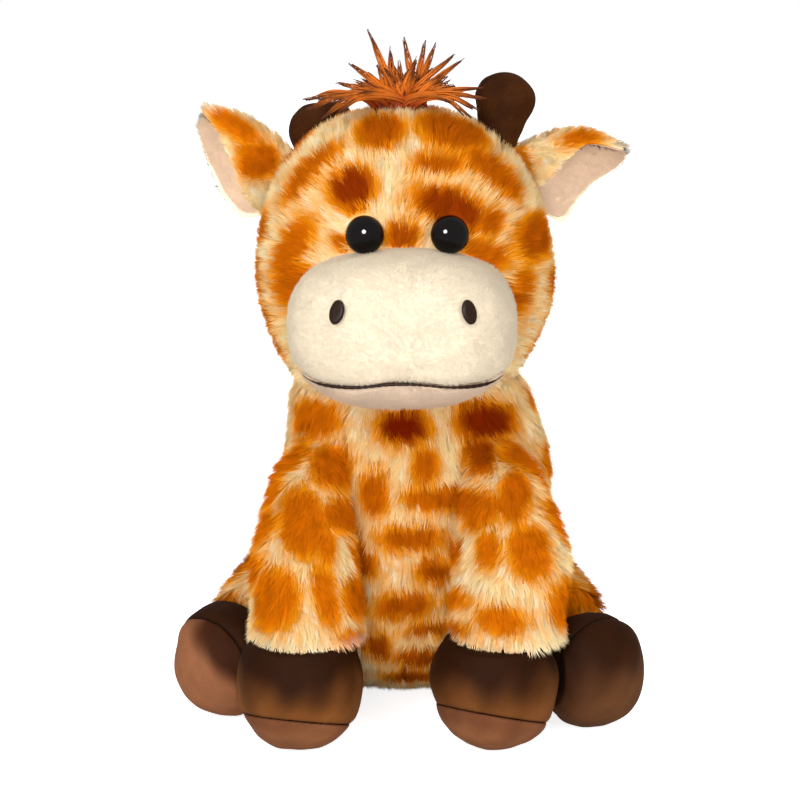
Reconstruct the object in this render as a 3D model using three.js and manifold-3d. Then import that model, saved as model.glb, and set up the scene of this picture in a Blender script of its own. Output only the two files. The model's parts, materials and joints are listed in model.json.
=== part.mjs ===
// A seated plush giraffe: printed fur over fibre stuffing, velboa muzzle, hooves and horns, a yarn
// tuft on the crown, safety eyes with locking washers, and a bean bag in the seat.
// Millimetres, +Z up. The toy looks along -Y, its own left is +X, and it sits on the plane Z = 0.
// The origin is the middle of the seat.
import * as THREE from "three";
import { mergeVertices } from "three/addons/utils/BufferGeometryUtils.js";
import Module from "manifold-3d";

const wasm = await Module();
wasm.setup();

// Cloth, seams and cuts
const furWall = 5; // backing and pile of the printed fur
const velboaWall = 2; // short-pile cloth of the muzzle, hooves and horns
const seamGap = 0.4; // between pieces that are sewn together or press on each other
const pressedFlat = 0.5; // how far a stuffed bottom is pressed flat on the floor
const overrun = 400; // how far a cutting block runs past what it cuts
const insideDetailShare = 0.6; // how many facets an inside form has, against an outside one

// Torso
const neckHeight = 128; // the seam where the head turns on the torso
const torsoHalfWidth = 52;
const torsoHalfDepth = 45;
const torsoSetBack = 4; // how far the torso's middle lies behind the origin at the seat
const torsoShoulderRise = 34; // how far the form would dome on above the neck seam
const torsoBottomDome = 34;
const torsoTopDome = 44;
const torsoSquareness = 2.2;
const seatSquareness = 3.2; // how flat the beans in it make the torso's lower end
// Share of the neck height, of the half width, of the half depth, and of the set-back
const torsoLevelShares = [
  [0, 0.82, 0.78, 1],
  [0.25, 1, 0.99, 1],
  [0.5, 0.98, 0.96, 0.9],
  [0.75, 0.92, 0.86, 0.7],
  [1, 0.86, 0.76, 0.5],
];
const bellyPanelHalfWidth = 21; // the front panel between the two seams of the belly
const bellyPanelEnd = 14; // its lower end, this far in front of the seat's middle
const beanBagHeight = 22;

// Head
const headRise = 41; // from the neck seam to the widest level of the head
const headHalfWidth = 56.5;
const headHalfDepth = 49;
const headHalfHeight = 64;
const headForward = 1.2; // of the neck's axis
const headSquareness = 2.35;
// Share of the half height, of the half width and of the half depth
const headLevelShares = [
  [-1, 0.86, 0.86],
  [-0.5, 0.93, 0.94],
  [0, 1, 1],
  [1, 1, 1],
];

// Muzzle
const muzzleHalfWidth = 42.5;
const muzzleHalfHeight = 29.5;
const muzzleHalfDepth = 34;
const muzzleForward = 48; // from the neck's axis to the muzzle's middle
const muzzleDrop = 12.5; // below the widest level of the head
const muzzleSquareness = 2.5;
const lipRecess = 1.4; // how far the chin lies inside the upper muzzle
const mouthHalfWidth = 36;
const mouthDrop = 16.5; // from the muzzle's middle down to the mouth seam
const mouthCornerRise = 5.5;
const mouthBowRise = 1.6; // the small rise of the seam in the middle
const mouthThread = 1.3;
const nostrilHalfWidth = 2.3;
const nostrilHalfHeight = 4.3;
const nostrilOut = 23.3;
const nostrilRise = 10.5; // above the muzzle's middle
const nostrilLean = THREE.MathUtils.degToRad(17);
const nostrilStand = 0.6; // the stitches stand this proud of the muzzle
const nostrilDepth = 0.9;

// Eyes: a domed button on a shank, held by a washer behind the cloth
const eyeRadius = 7.1;
const eyeDome = 5.2;
const eyeSink = 2.6; // how deep the eye presses into the pile
const eyeShankRadius = 2.2;
const eyeShankLength = 13;
const eyeWasherRadius = 8;
const eyeWasherThickness = 1.4;
const eyeWasherSet = 1.8; // the curved cloth stands this far off the washer's middle
const eyeOut = 15.8;
const eyeShift = 1.6; // both eyes sit this much towards the toy's left
const eyeRise = 21; // above the widest level of the head
const eyeSides = 18;

// Ears: a fur leaf and its lining, folded over along a ridge, swinging on a sewn root
const earLength = { left: 43, right: 37 };
const earRearFlap = 36; // down from the ridge, behind
const earFrontFlap = { left: 20, right: 26 }; // down from the ridge, in front
const earFoldRadius = 6;
const earFoldAngle = THREE.MathUtils.degToRad(84); // how far each flap turns down from level
const earFurThickness = 4.2;
const earLiningThickness = 1.6;
const earLiningShare = 0.86; // how far the lining reaches on the flaps
const earRootRadius = 3.2;
const earRootHalfLength = 13;
const earRootRise = 33; // above the widest level of the head
const earRootBack = 8;
const earRaise = { left: THREE.MathUtils.degToRad(8), right: THREE.MathUtils.degToRad(25) };
const earToeIn = THREE.MathUtils.degToRad(4); // the tips point a little forward
const earSwing = THREE.MathUtils.degToRad(20);
const earLiningRootShare = 0.05; // where the lining begins
// Share of the length, of the rear flap, the front flap, the fold's radius, its angle and the thickness
const earLevelShares = [
  [0, 0.7, 0.95, 0.15, 1, 0.4],
  [0.16, 0.92, 0.92, 0.65, 1, 0.8],
  [0.36, 1, 0.74, 1, 0.96, 1],
  [0.58, 0.82, 0.46, 1, 0.88, 1],
  [0.8, 0.52, 0.2, 0.8, 0.75, 0.8],
  [0.95, 0.18, 0.06, 0.5, 0.6, 0.5],
];

// Horns: velboa clubs on a round root
const hornLength = 31;
const hornRootRadius = 6;
const hornClubRadius = 12;
const hornSwing = THREE.MathUtils.degToRad(20);
// Share of the length and of the club's radius
const hornLevelShares = [
  [0, 0.5],
  [0.3, 0.68],
  [0.6, 0.96],
  [0.8, 1],
  [1, 0.88],
];
const hornClubDome = 12;
const hornOut = { left: 39, right: 26 };
const hornBack = { left: 4, right: 20 };
// How far each horn points outward, back and up
const hornWayShares = { left: [0.12, 0.1, 1], right: [0.55, 0.8, -0.4] };

// Yarn tuft on the crown
const tuftRootRadius = 5;
const tuftRootDepth = 3;
const tuftRootStand = 3;
const tuftBack = -2;
const strandCount = 30;
const strandLength = 30;
const strandRadius = 1.5;
const strandTipShare = 0.35;
const strandDroop = 6; // how far a level strand sags at its tip
const strandMostLean = THREE.MathUtils.degToRad(82);
const strandVariation = 0.14;
const strandVariety = 5; // how quickly the lengths change from strand to strand
const strandSides = 4;
const strandSteps = 4;

// Front legs, hanging from the shoulders in front of the torso
const shoulderHeight = 114;
const shoulderForward = 24; // the seam that the leg swings on
const shoulderSwing = THREE.MathUtils.degToRad(45);
const frontLegRootHalfWidth = 12.5;
const frontLegRootHalfDepth = 14;
const frontLegRootForward = 9; // how far the leg's middle hangs in front of that seam
const frontLegCuffHalfWidth = 25;
const frontLegCuffHalfDepth = 22;
const frontCuffHeight = 41;
const frontCuffForward = 54;
const frontLegTopDome = 10;
const frontLegRootOut = { left: 36.5, right: 35 };
const frontLegOut = { left: 41, right: 38 };
// Share of the drop to the cuff, and of the change in half width and half depth
const frontLegShares = [
  [0, 0, 0],
  [0.3, 0.3, 0.3],
  [0.65, 0.68, 0.65],
  [1, 1, 1],
  [1.3, 1, 1],
];
const shoulderSteps = [0, 0.25, 0.5, 1]; // shares of the swing at which the leg's top is shaped to the torso
const frontHoofOut = { left: 36, right: 38 };
const frontHoofForward = 60;
const frontHoofHalfWidth = 24;
const frontHoofHalfDepth = 25;
const frontHoofHalfHeight = 26;
const hoofSquareness = 2.35;
const frontSoleHeight = 17; // how far above the floor the sole's seam runs at the toe
const frontSoleTilt = THREE.MathUtils.degToRad(18);

// Hind legs, lying on the floor at each side of the seat
const hipOut = 40;
const hipBack = 8;
const hipHeight = 31;
const hipSwing = THREE.MathUtils.degToRad(30);
const hipSeamOut = 46; // the upright line that the leg swings on
const hipSeamBack = 22;
const thighHalfWidth = 26;
const thighHalfHeight = 31;
const ankleHalfWidth = 21.5;
const ankleHalfHeight = 22;
const hindHoofOut = { left: 72, right: 69.5 };
const hindHoofForward = { left: 30, right: 24 };
const hindHoofHalfWidth = 20.5;
const hindHoofHalfHeight = 22;
const hindHoofHalfLength = 20;
const hindCuffReach = 14; // how far before the hoof's middle the fur ends
// Share of the way from the hip to the end of the fur, and of the change from the ankle to the thigh
const hindLegShares = [
  [-0.45, 1],
  [0, 1],
  [0.5, 0.55],
  [1, 0],
  [1.4, 0],
];
const hindSoleTilt = THREE.MathUtils.degToRad(14);
const hindSoleShare = 0.3; // how far beyond the hoof's middle its sole is sewn on, as a share of its half length

// Tail
const tailRadius = 5;
const tailRootRadius = 6;
const tailHeight = 40;
const tailLift = 1.5; // its end hangs this far above the floor
const tailSwing = THREE.MathUtils.degToRad(35);
const tailSideReach = 44;
const tailBackReach = 24;
// Share of the tail's reach to the toy's left, of its reach behind the torso, and of its height
const tailPointShares = [
  [0, 0, 1],
  [0.08, 0.55, 0.8],
  [0.3, 0.9, 0.36],
  [0.62, 1, 0.06],
  [1, 0.9, 0],
];
const tailTuftRadius = 7.5;
const tailTuftLength = 26;
// Share of the tuft's length and of its thickness
const tailTuftShares = [
  [0, 0.85],
  [0.4, 1],
  [0.75, 0.7],
  [1, 0.3],
];

const left = 1;
const right = -1;
const nameOf = { [left]: "left", [right]: "right" };
const xAxis = new THREE.Vector3(1, 0, 0);
const yAxis = new THREE.Vector3(0, 1, 0);
const zAxis = new THREE.Vector3(0, 0, 1);

// A closed skin over rings of points, one after another along the form, with a pole at each end.
function skin(rings, startPole, endPole) {
  const around = rings[0].length;
  const points = [...rings.flat(), startPole, endPole];
  const start = points.length - 2;
  const end = points.length - 1;
  const lastRow = (rings.length - 1) * around;
  const faces = [];
  for (let i = 0; i < around; i++) {
    const j = (i + 1) % around;
    for (let row = 0; row < lastRow; row += around) {
      faces.push(row + i, row + j, row + around + j);
      faces.push(row + i, row + around + j, row + around + i);
    }
    faces.push(start, j, i);
    faces.push(end, lastRow + i, lastRow + j);
  }
  const made = new THREE.BufferGeometry().setFromPoints(points);
  made.setIndex(faces);
  return made;
}

// A three.js geometry as a solid that can be cut and joined, turned right side out.
function solid(geometry) {
  const bare = new THREE.BufferGeometry();
  bare.setAttribute("position", geometry.getAttribute("position"));
  bare.setIndex(geometry.getIndex());
  const merged = mergeVertices(bare);
  const triVerts = new Uint32Array(merged.getIndex().array);
  const vertProperties = merged.getAttribute("position").array;
  const made = new wasm.Manifold(new wasm.Mesh({ numProp: 3, vertProperties, triVerts }));
  if (made.volume() > 0) return made;
  const turned = triVerts.map((_, i) => triVerts[i - (i % 3) + (2 - (i % 3))]);
  return new wasm.Manifold(new wasm.Mesh({ numProp: 3, vertProperties, triVerts: turned }));
}

function geometryOf(cut) {
  const mesh = cut.getMesh();
  const made = new THREE.BufferGeometry();
  made.setAttribute("position", new THREE.BufferAttribute(new Float32Array(mesh.vertProperties), 3));
  made.setIndex(new THREE.BufferAttribute(new Uint32Array(mesh.triVerts), 1));
  return made;
}

const moved = (geometry, matrix) => geometry.clone().applyMatrix4(matrix);
const cutBy = (whole, ...cutters) => cutters.reduce((rest, cutter) => rest.subtract(cutter), whole);

// A frame at a point, with its Z along one direction and its X as near as can be to another.
function frameAt(point, along, across = xAxis) {
  const z = along.clone().normalize();
  const y = z.clone().cross(across).normalize();
  const x = y.clone().cross(z);
  return new THREE.Matrix4().makeBasis(x, y, z).setPosition(point);
}

// One ring of a superellipse: squareness 2 is an ellipse, and more is boxier.
function ring(frame, halfWidth, halfDepth, squareness, around) {
  const power = 2 / squareness;
  return Array.from({ length: around }, (_, i) => {
    const turn = (2 * Math.PI * i) / around;
    const c = Math.cos(turn);
    const s = Math.sin(turn);
    const x = halfWidth * Math.sign(c) * Math.abs(c) ** power;
    const y = halfDepth * Math.sign(s) * Math.abs(s) ** power;
    return new THREE.Vector3(x, y, 0).applyMatrix4(frame);
  });
}

// A stuffed form. Each station holds a point of its spine and the half width and half depth there.
// Smooth curves run through the stations, each end is domed, and grow swells the form all over.
// A form that is pressed flat at its start has one more ring there, and its own squareness.
function stuffed(stations, options) {
  const { domes, grow = 0, squareness = 2, rings = 12, around = 18, across = xAxis } = options;
  const { pressed = 0, startSquareness = squareness } = options;
  const spine = new THREE.CatmullRomCurve3(stations.map((station) => station.at));
  const sizes = new THREE.CatmullRomCurve3(
    stations.map((station) => new THREE.Vector3(station.width, station.depth, 0)),
  );
  const bare = spine.getLength();
  const full = bare + 2 * grow;
  const ends = domes.map((dome) => dome + grow);
  const placeOf = (along) => {
    const t = spine.getUtoTmapping(THREE.MathUtils.clamp((along - grow) / bare, 0, 1));
    const tangent = spine.getTangent(t);
    const past = along - grow - THREE.MathUtils.clamp(along - grow, 0, bare);
    return { t, tangent, at: spine.getPoint(t).addScaledVector(tangent, past) };
  };
  const detail = grow < 0 ? insideDetailShare : 1;
  const levels = Math.round(rings * detail);
  const sides = 2 * Math.round((around * detail) / 2);
  const places = Array.from({ length: levels }, (_, row) => {
    return (full * (1 - Math.cos((Math.PI * (row + 1)) / (levels + 1)))) / 2;
  });
  if (pressed) places.unshift(pressed);
  const rows = places.map((along) => {
    const { t, tangent, at } = placeOf(along);
    const size = sizes.getPoint(t);
    const fromEnd = Math.min(1, along / ends[0], (full - along) / ends[1]);
    const power = along < ends[0] ? startSquareness : squareness;
    const share = (1 - (1 - fromEnd) ** power) ** (1 / power);
    const frame = frameAt(at, tangent, across);
    return ring(frame, (size.x + grow) * share, (size.y + grow) * share, squareness, sides);
  });
  return solid(skin(rows, placeOf(0).at, placeOf(full).at));
}

// A block on one side of a plane: everything that lies ahead of the point, along the direction.
function ahead(point, direction) {
  const block = new THREE.BoxGeometry(overrun, overrun, overrun);
  block.translate(0, 0, overrun / 2);
  return solid(moved(block, frameAt(point, direction, direction.y ** 2 > 0.5 ? xAxis : yAxis)));
}

// The room that a neighbour takes up, as seen from a piece that turns about a line by some angles.
function roomAround(neighbour, pivot, axis, angles) {
  const turned = angles.map((angle) => {
    const turn = new THREE.Matrix4().makeTranslation(pivot.x, pivot.y, pivot.z);
    turn.multiply(new THREE.Matrix4().makeRotationAxis(axis, -angle));
    turn.multiply(new THREE.Matrix4().makeTranslation(-pivot.x, -pivot.y, -pivot.z));
    return neighbour.transform(turn.elements);
  });
  return turned.reduce((all, one) => all.add(one));
}

// A round bar from one place along a direction, with its start pulled back.
function bar(radius, point, direction, from, to, sides = 20) {
  const rod = new THREE.CylinderGeometry(radius, radius, to - from, sides);
  rod.rotateX(Math.PI / 2).translate(0, 0, (from + to) / 2);
  return solid(moved(rod, frameAt(point, direction, direction.x ** 2 > 0.5 ? yAxis : xAxis)));
}

function ball(radius, point, sides = 16) {
  return solid(new THREE.SphereGeometry(radius, sides, sides / 2).translate(point.x, point.y, point.z));
}

const floor = new THREE.Vector3(0, 0, 0);
const belowFloor = ahead(floor, zAxis.clone().negate());

const colours = {
  fur: 0xf0b560,
  velboa: 0xf3e3c0,
  lining: 0xefd2bb,
  hoof: 0x4d2a18,
  sole: 0x7d4a2e,
  black: 0x0a0808,
  thread: 0x2a160c,
  yarn: 0xb85a18,
  fibre: 0xf4f2ec,
  pellets: 0xd8d2c4,
  nylon: 0x8a8a86,
};

function cloth(colour, roughness = 0.95) {
  return new THREE.MeshStandardMaterial({ color: colour, roughness, metalness: 0 });
}

const giraffe = new THREE.Group();

function addPiece(name, cut, colour, roughness) {
  const mesh = new THREE.Mesh(geometryOf(cut), cloth(colour, roughness));
  mesh.name = name;
  giraffe.add(mesh);
}

// Torso

function torsoForm(grow) {
  const stations = torsoLevelShares.map(([height, width, depth, back]) => ({
    at: new THREE.Vector3(0, torsoSetBack * back, neckHeight * height - pressedFlat * (1 - height)),
    width: torsoHalfWidth * width,
    depth: torsoHalfDepth * depth,
  }));
  const last = stations.at(-1);
  const top = last.at.clone().setZ(neckHeight + torsoShoulderRise);
  stations.push({ at: top, width: last.width, depth: last.depth });
  const domes = [torsoBottomDome, torsoTopDome];
  const shape = { domes, grow, squareness: torsoSquareness, rings: 13, around: 24 };
  const seat = { startSquareness: seatSquareness, pressed: grow < 0 ? 0 : pressedFlat * 1.1 };
  return stuffed(stations, { ...shape, ...seat });
}

const neck = new THREE.Vector3(0, torsoSetBack * torsoLevelShares.at(-1)[3], neckHeight);
const aboveNeck = ahead(neck, zAxis);
const torsoSkin = cutBy(torsoForm(0), belowFloor, aboveNeck);
const torsoInside = torsoForm(-furWall);
const seatInside = ahead(new THREE.Vector3(0, 0, furWall), zAxis.clone().negate());

function bellyPrism(grow) {
  const block = new THREE.BoxGeometry(2 * (bellyPanelHalfWidth + grow), overrun, overrun);
  block.translate(0, -overrun / 2 - bellyPanelEnd + grow, 0);
  return solid(block);
}

const tailRoot = new THREE.Vector3(0, torsoSetBack + torsoHalfDepth - tailRootRadius / 2, tailHeight);
const tailRootRoom = ball(tailRootRadius + seamGap, tailRoot);
const torsoCover = cutBy(torsoSkin, cutBy(torsoInside, seatInside), tailRootRoom);
addPiece("belly_panel", torsoCover.intersect(bellyPrism(0)), colours.fur);
addPiece("back_cover", cutBy(torsoCover, bellyPrism(seamGap)), colours.fur);

const torsoFilling = cutBy(torsoForm(-furWall - seamGap), aboveNeck);
const beanBagTop = new THREE.Vector3(0, 0, furWall + beanBagHeight);
const beanBagFloor = new THREE.Vector3(0, 0, furWall + seamGap);
addPiece(
  "bean_bag",
  cutBy(torsoFilling, ahead(beanBagTop, zAxis), ahead(beanBagFloor, zAxis.clone().negate())),
  colours.pellets,
);
beanBagTop.z += seamGap;
addPiece(
  "torso_stuffing",
  cutBy(torsoFilling, ahead(beanBagTop, zAxis.clone().negate()), tailRootRoom),
  colours.fibre,
);

// Head and muzzle

const headMiddle = new THREE.Vector3(0, neck.y - headForward, neckHeight + headRise);
const muzzleMiddle = new THREE.Vector3(0, neck.y - muzzleForward, headMiddle.z - muzzleDrop);

function headForm(grow) {
  const stations = headLevelShares.map(([rise, width, depth]) => ({
    at: headMiddle.clone().setZ(headMiddle.z + headHalfHeight * rise),
    width: headHalfWidth * width,
    depth: headHalfDepth * depth,
  }));
  const domes = [headHalfHeight, headHalfHeight];
  return stuffed(stations, { domes, grow, squareness: headSquareness, rings: 14, around: 26 });
}

function muzzleForm(grow) {
  const stations = [muzzleHalfDepth, 0, -muzzleHalfDepth].map((back) => ({
    at: muzzleMiddle.clone().setY(muzzleMiddle.y + back),
    width: muzzleHalfWidth,
    depth: muzzleHalfHeight,
  }));
  const domes = [muzzleHalfDepth, muzzleHalfDepth];
  return stuffed(stations, { domes, grow, squareness: muzzleSquareness, rings: 10, around: 24 });
}

// How high the mouth seam runs at a place across the face: up at the corners, with a small bow.
function mouthHeight(x) {
  const share = Math.min(1, Math.abs(x) / mouthHalfWidth);
  const bow = mouthBowRise * Math.max(0, 1 - 3 * share);
  return muzzleMiddle.z - mouthDrop + mouthCornerRise * share ** 3 + bow;
}

// The band between two heights over the mouth seam, as seen from the front, run forward from a depth.
function mouthBand(low, high, from, beyond = 0) {
  const steps = 12;
  const places = Array.from({ length: steps + 1 }, (_, i) => mouthHalfWidth * ((2 * i) / steps - 1));
  if (beyond > 0) places.push(mouthHalfWidth + beyond);
  if (beyond > 0) places.unshift(-mouthHalfWidth - beyond);
  const edge = (offset) => places.map((x) => new THREE.Vector2(x, mouthHeight(x) + offset));
  const outline = new THREE.Shape([...edge(low), ...edge(high).reverse()]);
  const run = new THREE.ExtrudeGeometry(outline, { depth: overrun, bevelEnabled: false });
  return solid(run.rotateX(Math.PI / 2).translate(0, from, 0));
}

// The place on the head straight ahead of, beside or above an offset from its middle, and how it faces.
function headSurface(axis, offset) {
  const half = { x: headHalfWidth, y: headHalfDepth, z: headHalfHeight };
  const used = ["x", "y", "z"].filter((k) => k !== axis);
  const total = used.reduce((sum, k) => sum + Math.abs(offset[k] / half[k]) ** headSquareness, 0);
  const place = offset.clone();
  place[axis] = Math.sign(offset[axis]) * half[axis] * Math.max(0, 1 - total) ** (1 / headSquareness);
  const slope = (k) => (Math.sign(place[k]) * Math.abs(place[k] / half[k]) ** (headSquareness - 1)) / half[k];
  const facing = new THREE.Vector3(slope("x"), slope("y"), slope("z")).normalize();
  return { at: headMiddle.clone().add(place), facing };
}

// Eyes

const eyePlace = (side) => headSurface("y", new THREE.Vector3(side * eyeOut + eyeShift, -1, eyeRise));
const eyeBack = -eyeSink + seamGap;

function eyeButton(side) {
  const { at, facing } = eyePlace(side);
  const steps = 5;
  const profile = [new THREE.Vector2(0, eyeBack - eyeShankLength)];
  profile.push(new THREE.Vector2(eyeShankRadius, eyeBack - eyeShankLength));
  profile.push(new THREE.Vector2(eyeShankRadius, eyeBack));
  for (let i = 0; i <= steps; i++) {
    const turn = (Math.PI / 2) * (i / steps);
    profile.push(new THREE.Vector2(eyeRadius * Math.cos(turn), eyeBack + eyeDome * Math.sin(turn)));
  }
  profile.at(-1).x = 0;
  const lathe = new THREE.LatheGeometry(profile, eyeSides).rotateX(Math.PI / 2);
  return solid(moved(lathe, frameAt(at, facing)));
}

const washerFrom = -furWall - seamGap - eyeWasherSet - eyeWasherThickness;

function eyeWasher(side, grow) {
  const { at, facing } = eyePlace(side);
  const thickness = eyeWasherThickness + 2 * grow;
  return bar(eyeWasherRadius + grow, at, facing, washerFrom - grow, washerFrom - grow + thickness, eyeSides);
}

function eyeRoom(side) {
  const { at, facing } = eyePlace(side);
  const pocket = bar(eyeRadius + seamGap, at, facing, -eyeSink, overrun / 4, eyeSides);
  const shankEnd = eyeBack - eyeShankLength - seamGap;
  const shank = bar(eyeShankRadius + seamGap, at, facing, shankEnd, 0, eyeSides);
  return { pocket, shank, washer: eyeWasher(side, seamGap) };
}

const eyeRooms = [left, right].map(eyeRoom);

// Muzzle pieces

const muzzleInside = muzzleForm(-velboaWall - lipRecess);
const belowHead = ahead(new THREE.Vector3(0, 0, neckHeight + seamGap), zAxis.clone().negate());
const headRoom = headForm(seamGap);
const upperLip = mouthThread / 2 + seamGap;

function nostrilBar(side, grow) {
  const oval = new THREE.CylinderGeometry(1, 1, overrun, 16);
  oval.scale(nostrilHalfWidth + grow, 1, nostrilHalfHeight + grow);
  oval.rotateY(side * -nostrilLean).translate(0, -overrun / 2, 0);
  const at = muzzleMiddle.clone().add(new THREE.Vector3(side * nostrilOut, 0, nostrilRise));
  return solid(oval.translate(at.x, at.y, at.z));
}

const nostrilPockets = [left, right].map((side) =>
  cutBy(nostrilBar(side, seamGap), muzzleForm(-nostrilDepth - seamGap)),
);
const upperCuts = [mouthBand(-overrun / 4, upperLip, headMiddle.y, muzzleHalfWidth), ...nostrilPockets];
upperCuts.push(...eyeRooms.map((room) => room.pocket));
addPiece("muzzle_upper", cutBy(muzzleForm(0), muzzleInside, headRoom, ...upperCuts), colours.velboa);
const chinCuts = [mouthBand(-upperLip, overrun / 4, headMiddle.y, muzzleHalfWidth), belowHead];
addPiece("muzzle_chin", cutBy(muzzleForm(-lipRecess), muzzleInside, headRoom, ...chinCuts), colours.velboa);
const mouthSlot = mouthBand(-mouthThread / 2, mouthThread / 2, muzzleMiddle.y);
const mouthSkin = cutBy(muzzleForm(0), muzzleForm(-lipRecess - mouthThread));
addPiece("mouth_thread", mouthSkin.intersect(mouthSlot), colours.thread);
for (const side of [left, right]) {
  const pad = cutBy(muzzleForm(nostrilStand).intersect(nostrilBar(side, 0)), muzzleForm(-nostrilDepth));
  addPiece(`nostril_${nameOf[side]}`, pad, colours.thread);
}

// Ears

// The root lies along the head's surface. A ridge runs out from its upper end, and the flaps hang from it.
function earFrame(side) {
  const name = nameOf[side];
  const { at, facing } = headSurface("x", new THREE.Vector3(side, earRootBack, earRootRise));
  const raise = earRaise[name];
  const along = new THREE.Vector3(side * Math.cos(raise), -Math.sin(earToeIn), Math.sin(raise)).normalize();
  const across = facing.clone().cross(yAxis).multiplyScalar(side).normalize();
  const forward = across.clone().cross(along).multiplyScalar(-side).normalize();
  const down = along.clone().cross(forward).multiplyScalar(side).normalize();
  return { name, at, along, across, forward, down, length: earLength[name] };
}

// One layer of the ear, from the root to the tip: at each level an arc over the ridge that runs
// straight down into both flaps. It begins at one depth inside the fold and grows out from there.
function earLayer(side, depth, thickness, reachShare, levels) {
  const { name, at, along, across, forward, down, length } = earFrame(side);
  const steps = 4;
  const level = ([lengthShare, rear, front, radius, angle, fullness]) => {
    const ridge = at.clone().addScaledVector(along, length * lengthShare);
    ridge.addScaledVector(across, earRootHalfLength);
    const low = across.clone().negate().lerp(down, Math.min(1, 2 * lengthShare)).normalize();
    const fold = earFoldRadius * radius;
    const most = earFoldAngle * angle;
    const point = (reach, offset) => {
      const turn = Math.sign(reach) * Math.min(most, Math.abs(reach) / fold);
      const straight = reach - turn * fold;
      const ahead = fold * Math.sin(turn) + straight * Math.cos(most) - offset * Math.sin(turn);
      const below = fold * (1 - Math.cos(turn)) + Math.abs(straight) * Math.sin(most) + offset * Math.cos(turn);
      return ridge.clone().addScaledVector(forward, ahead).addScaledVector(low, below);
    };
    const reaches = [];
    for (let i = steps; i > 0; i--) reaches.push((-earRearFlap * rear * reachShare * i) / steps);
    for (let i = 0; i <= steps; i++) reaches.push((earFrontFlap[name] * front * reachShare * i) / steps);
    const outside = depth + thickness * fullness;
    const inner = reaches.map((reach) => point(reach, depth));
    return [...inner, ...reaches.map((reach) => point(reach, outside)).reverse()];
  };
  const tip = at.clone().addScaledVector(along, length).addScaledVector(across, earRootHalfLength);
  const root = tip.clone().addScaledVector(along, (earLiningRootShare - 1) * length);
  root.addScaledVector(across, levels.length < earLevelShares.length ? -earFoldRadius : -earRootHalfLength);
  return solid(skin(levels.map(level), root, tip.addScaledVector(down, earFoldRadius / 2)));
}

function earRoll(side, grow) {
  const { at, across } = earFrame(side);
  const half = earRootHalfLength + grow;
  return bar(earRootRadius + grow, at, across, -half, half, 14);
}

const ears = [left, right].map((side) => {
  const { at, across } = earFrame(side);
  const room = roomAround(headRoom, at, across, [-earSwing, 0, earSwing]);
  const leaf = cutBy(earLayer(side, 0, -earFurThickness, 1, earLevelShares), room).add(earRoll(side, 0));
  const front = earLayer(side, seamGap, earLiningThickness, earLiningShare, earLevelShares.slice(1));
  const leafRoom = earLayer(side, seamGap / 2, -earFurThickness, 1, earLevelShares);
  const socket = earRoll(side, seamGap);
  return { side, leaf, lining: cutBy(front, room, leafRoom, socket), socket };
});

// Horns

// Each horn stands on a round root in the head and bends forward and back there.
function hornFrame(side) {
  const name = nameOf[side];
  const { at } = headSurface("z", new THREE.Vector3(side * hornOut[name], hornBack[name], 1));
  const [outward, back, up] = hornWayShares[name];
  const along = new THREE.Vector3(side * outward, back, up).normalize();
  const hinge = along.clone().cross(yAxis).normalize();
  return { at, along, hinge };
}

const horns = [left, right].map((side) => {
  const { at, along, hinge } = hornFrame(side);
  const stations = hornLevelShares.map(([length, radius]) => ({
    at: at.clone().addScaledVector(along, (hornLength - hornClubDome / 2) * length),
    width: hornClubRadius * radius,
    depth: hornClubRadius * radius,
  }));
  const club = stuffed(stations, { domes: [hornRootRadius / 4, hornClubDome], rings: 8, around: 12 });
  const room = roomAround(headRoom, at, hinge, [-hornSwing, 0, hornSwing]);
  const root = ball(hornRootRadius, at);
  return { side, form: cutBy(club, room).add(root), socket: ball(hornRootRadius + seamGap, at) };
});

// Yarn tuft: strands fan out of a round root, in golden-angle steps from upright to level.

const crown = headSurface("z", new THREE.Vector3(0, tuftBack, 1));

function tuftRoot(grow) {
  return bar(tuftRootRadius + grow, crown.at, crown.facing, -tuftRootDepth - grow, tuftRootStand, 14);
}

function strand(index) {
  const goldenAngle = Math.PI * (3 - Math.sqrt(5));
  const turn = goldenAngle * index;
  const lean = strandMostLean * Math.sqrt((index + 0.5) / strandCount);
  const level = new THREE.Vector3(Math.cos(turn), Math.sin(turn), 0);
  const way = level.clone().multiplyScalar(Math.sin(lean)).addScaledVector(zAxis, Math.cos(lean));
  const length = strandLength * (1 - strandVariation * (1 + Math.cos(strandVariety * index)));
  const root = crown.at.clone().addScaledVector(level, tuftRootRadius * 0.6);
  root.z += tuftRootStand / 2;
  const place = (along) => {
    const at = root.clone().addScaledVector(way, length * along);
    return at.addScaledVector(zAxis, -strandDroop * Math.sin(lean) * along * along);
  };
  const rings = Array.from({ length: strandSteps }, (_, step) => {
    const along = step / strandSteps;
    const radius = strandRadius * (1 - (1 - strandTipShare) * along);
    return ring(frameAt(place(along), way, way.x ** 2 > 0.5 ? yAxis : xAxis), radius, radius, 2, strandSides);
  });
  return solid(skin(rings, place(-0.02), place(1)));
}

const strands = Array.from({ length: strandCount }, (_, index) => strand(index));
const tuftClear = cutBy(headRoom, tuftRoot(seamGap));
addPiece("hair_tuft", cutBy(strands.reduce((all, one) => all.add(one), tuftRoot(0)), tuftClear), colours.yarn);

// Head cover and its stuffing

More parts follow.
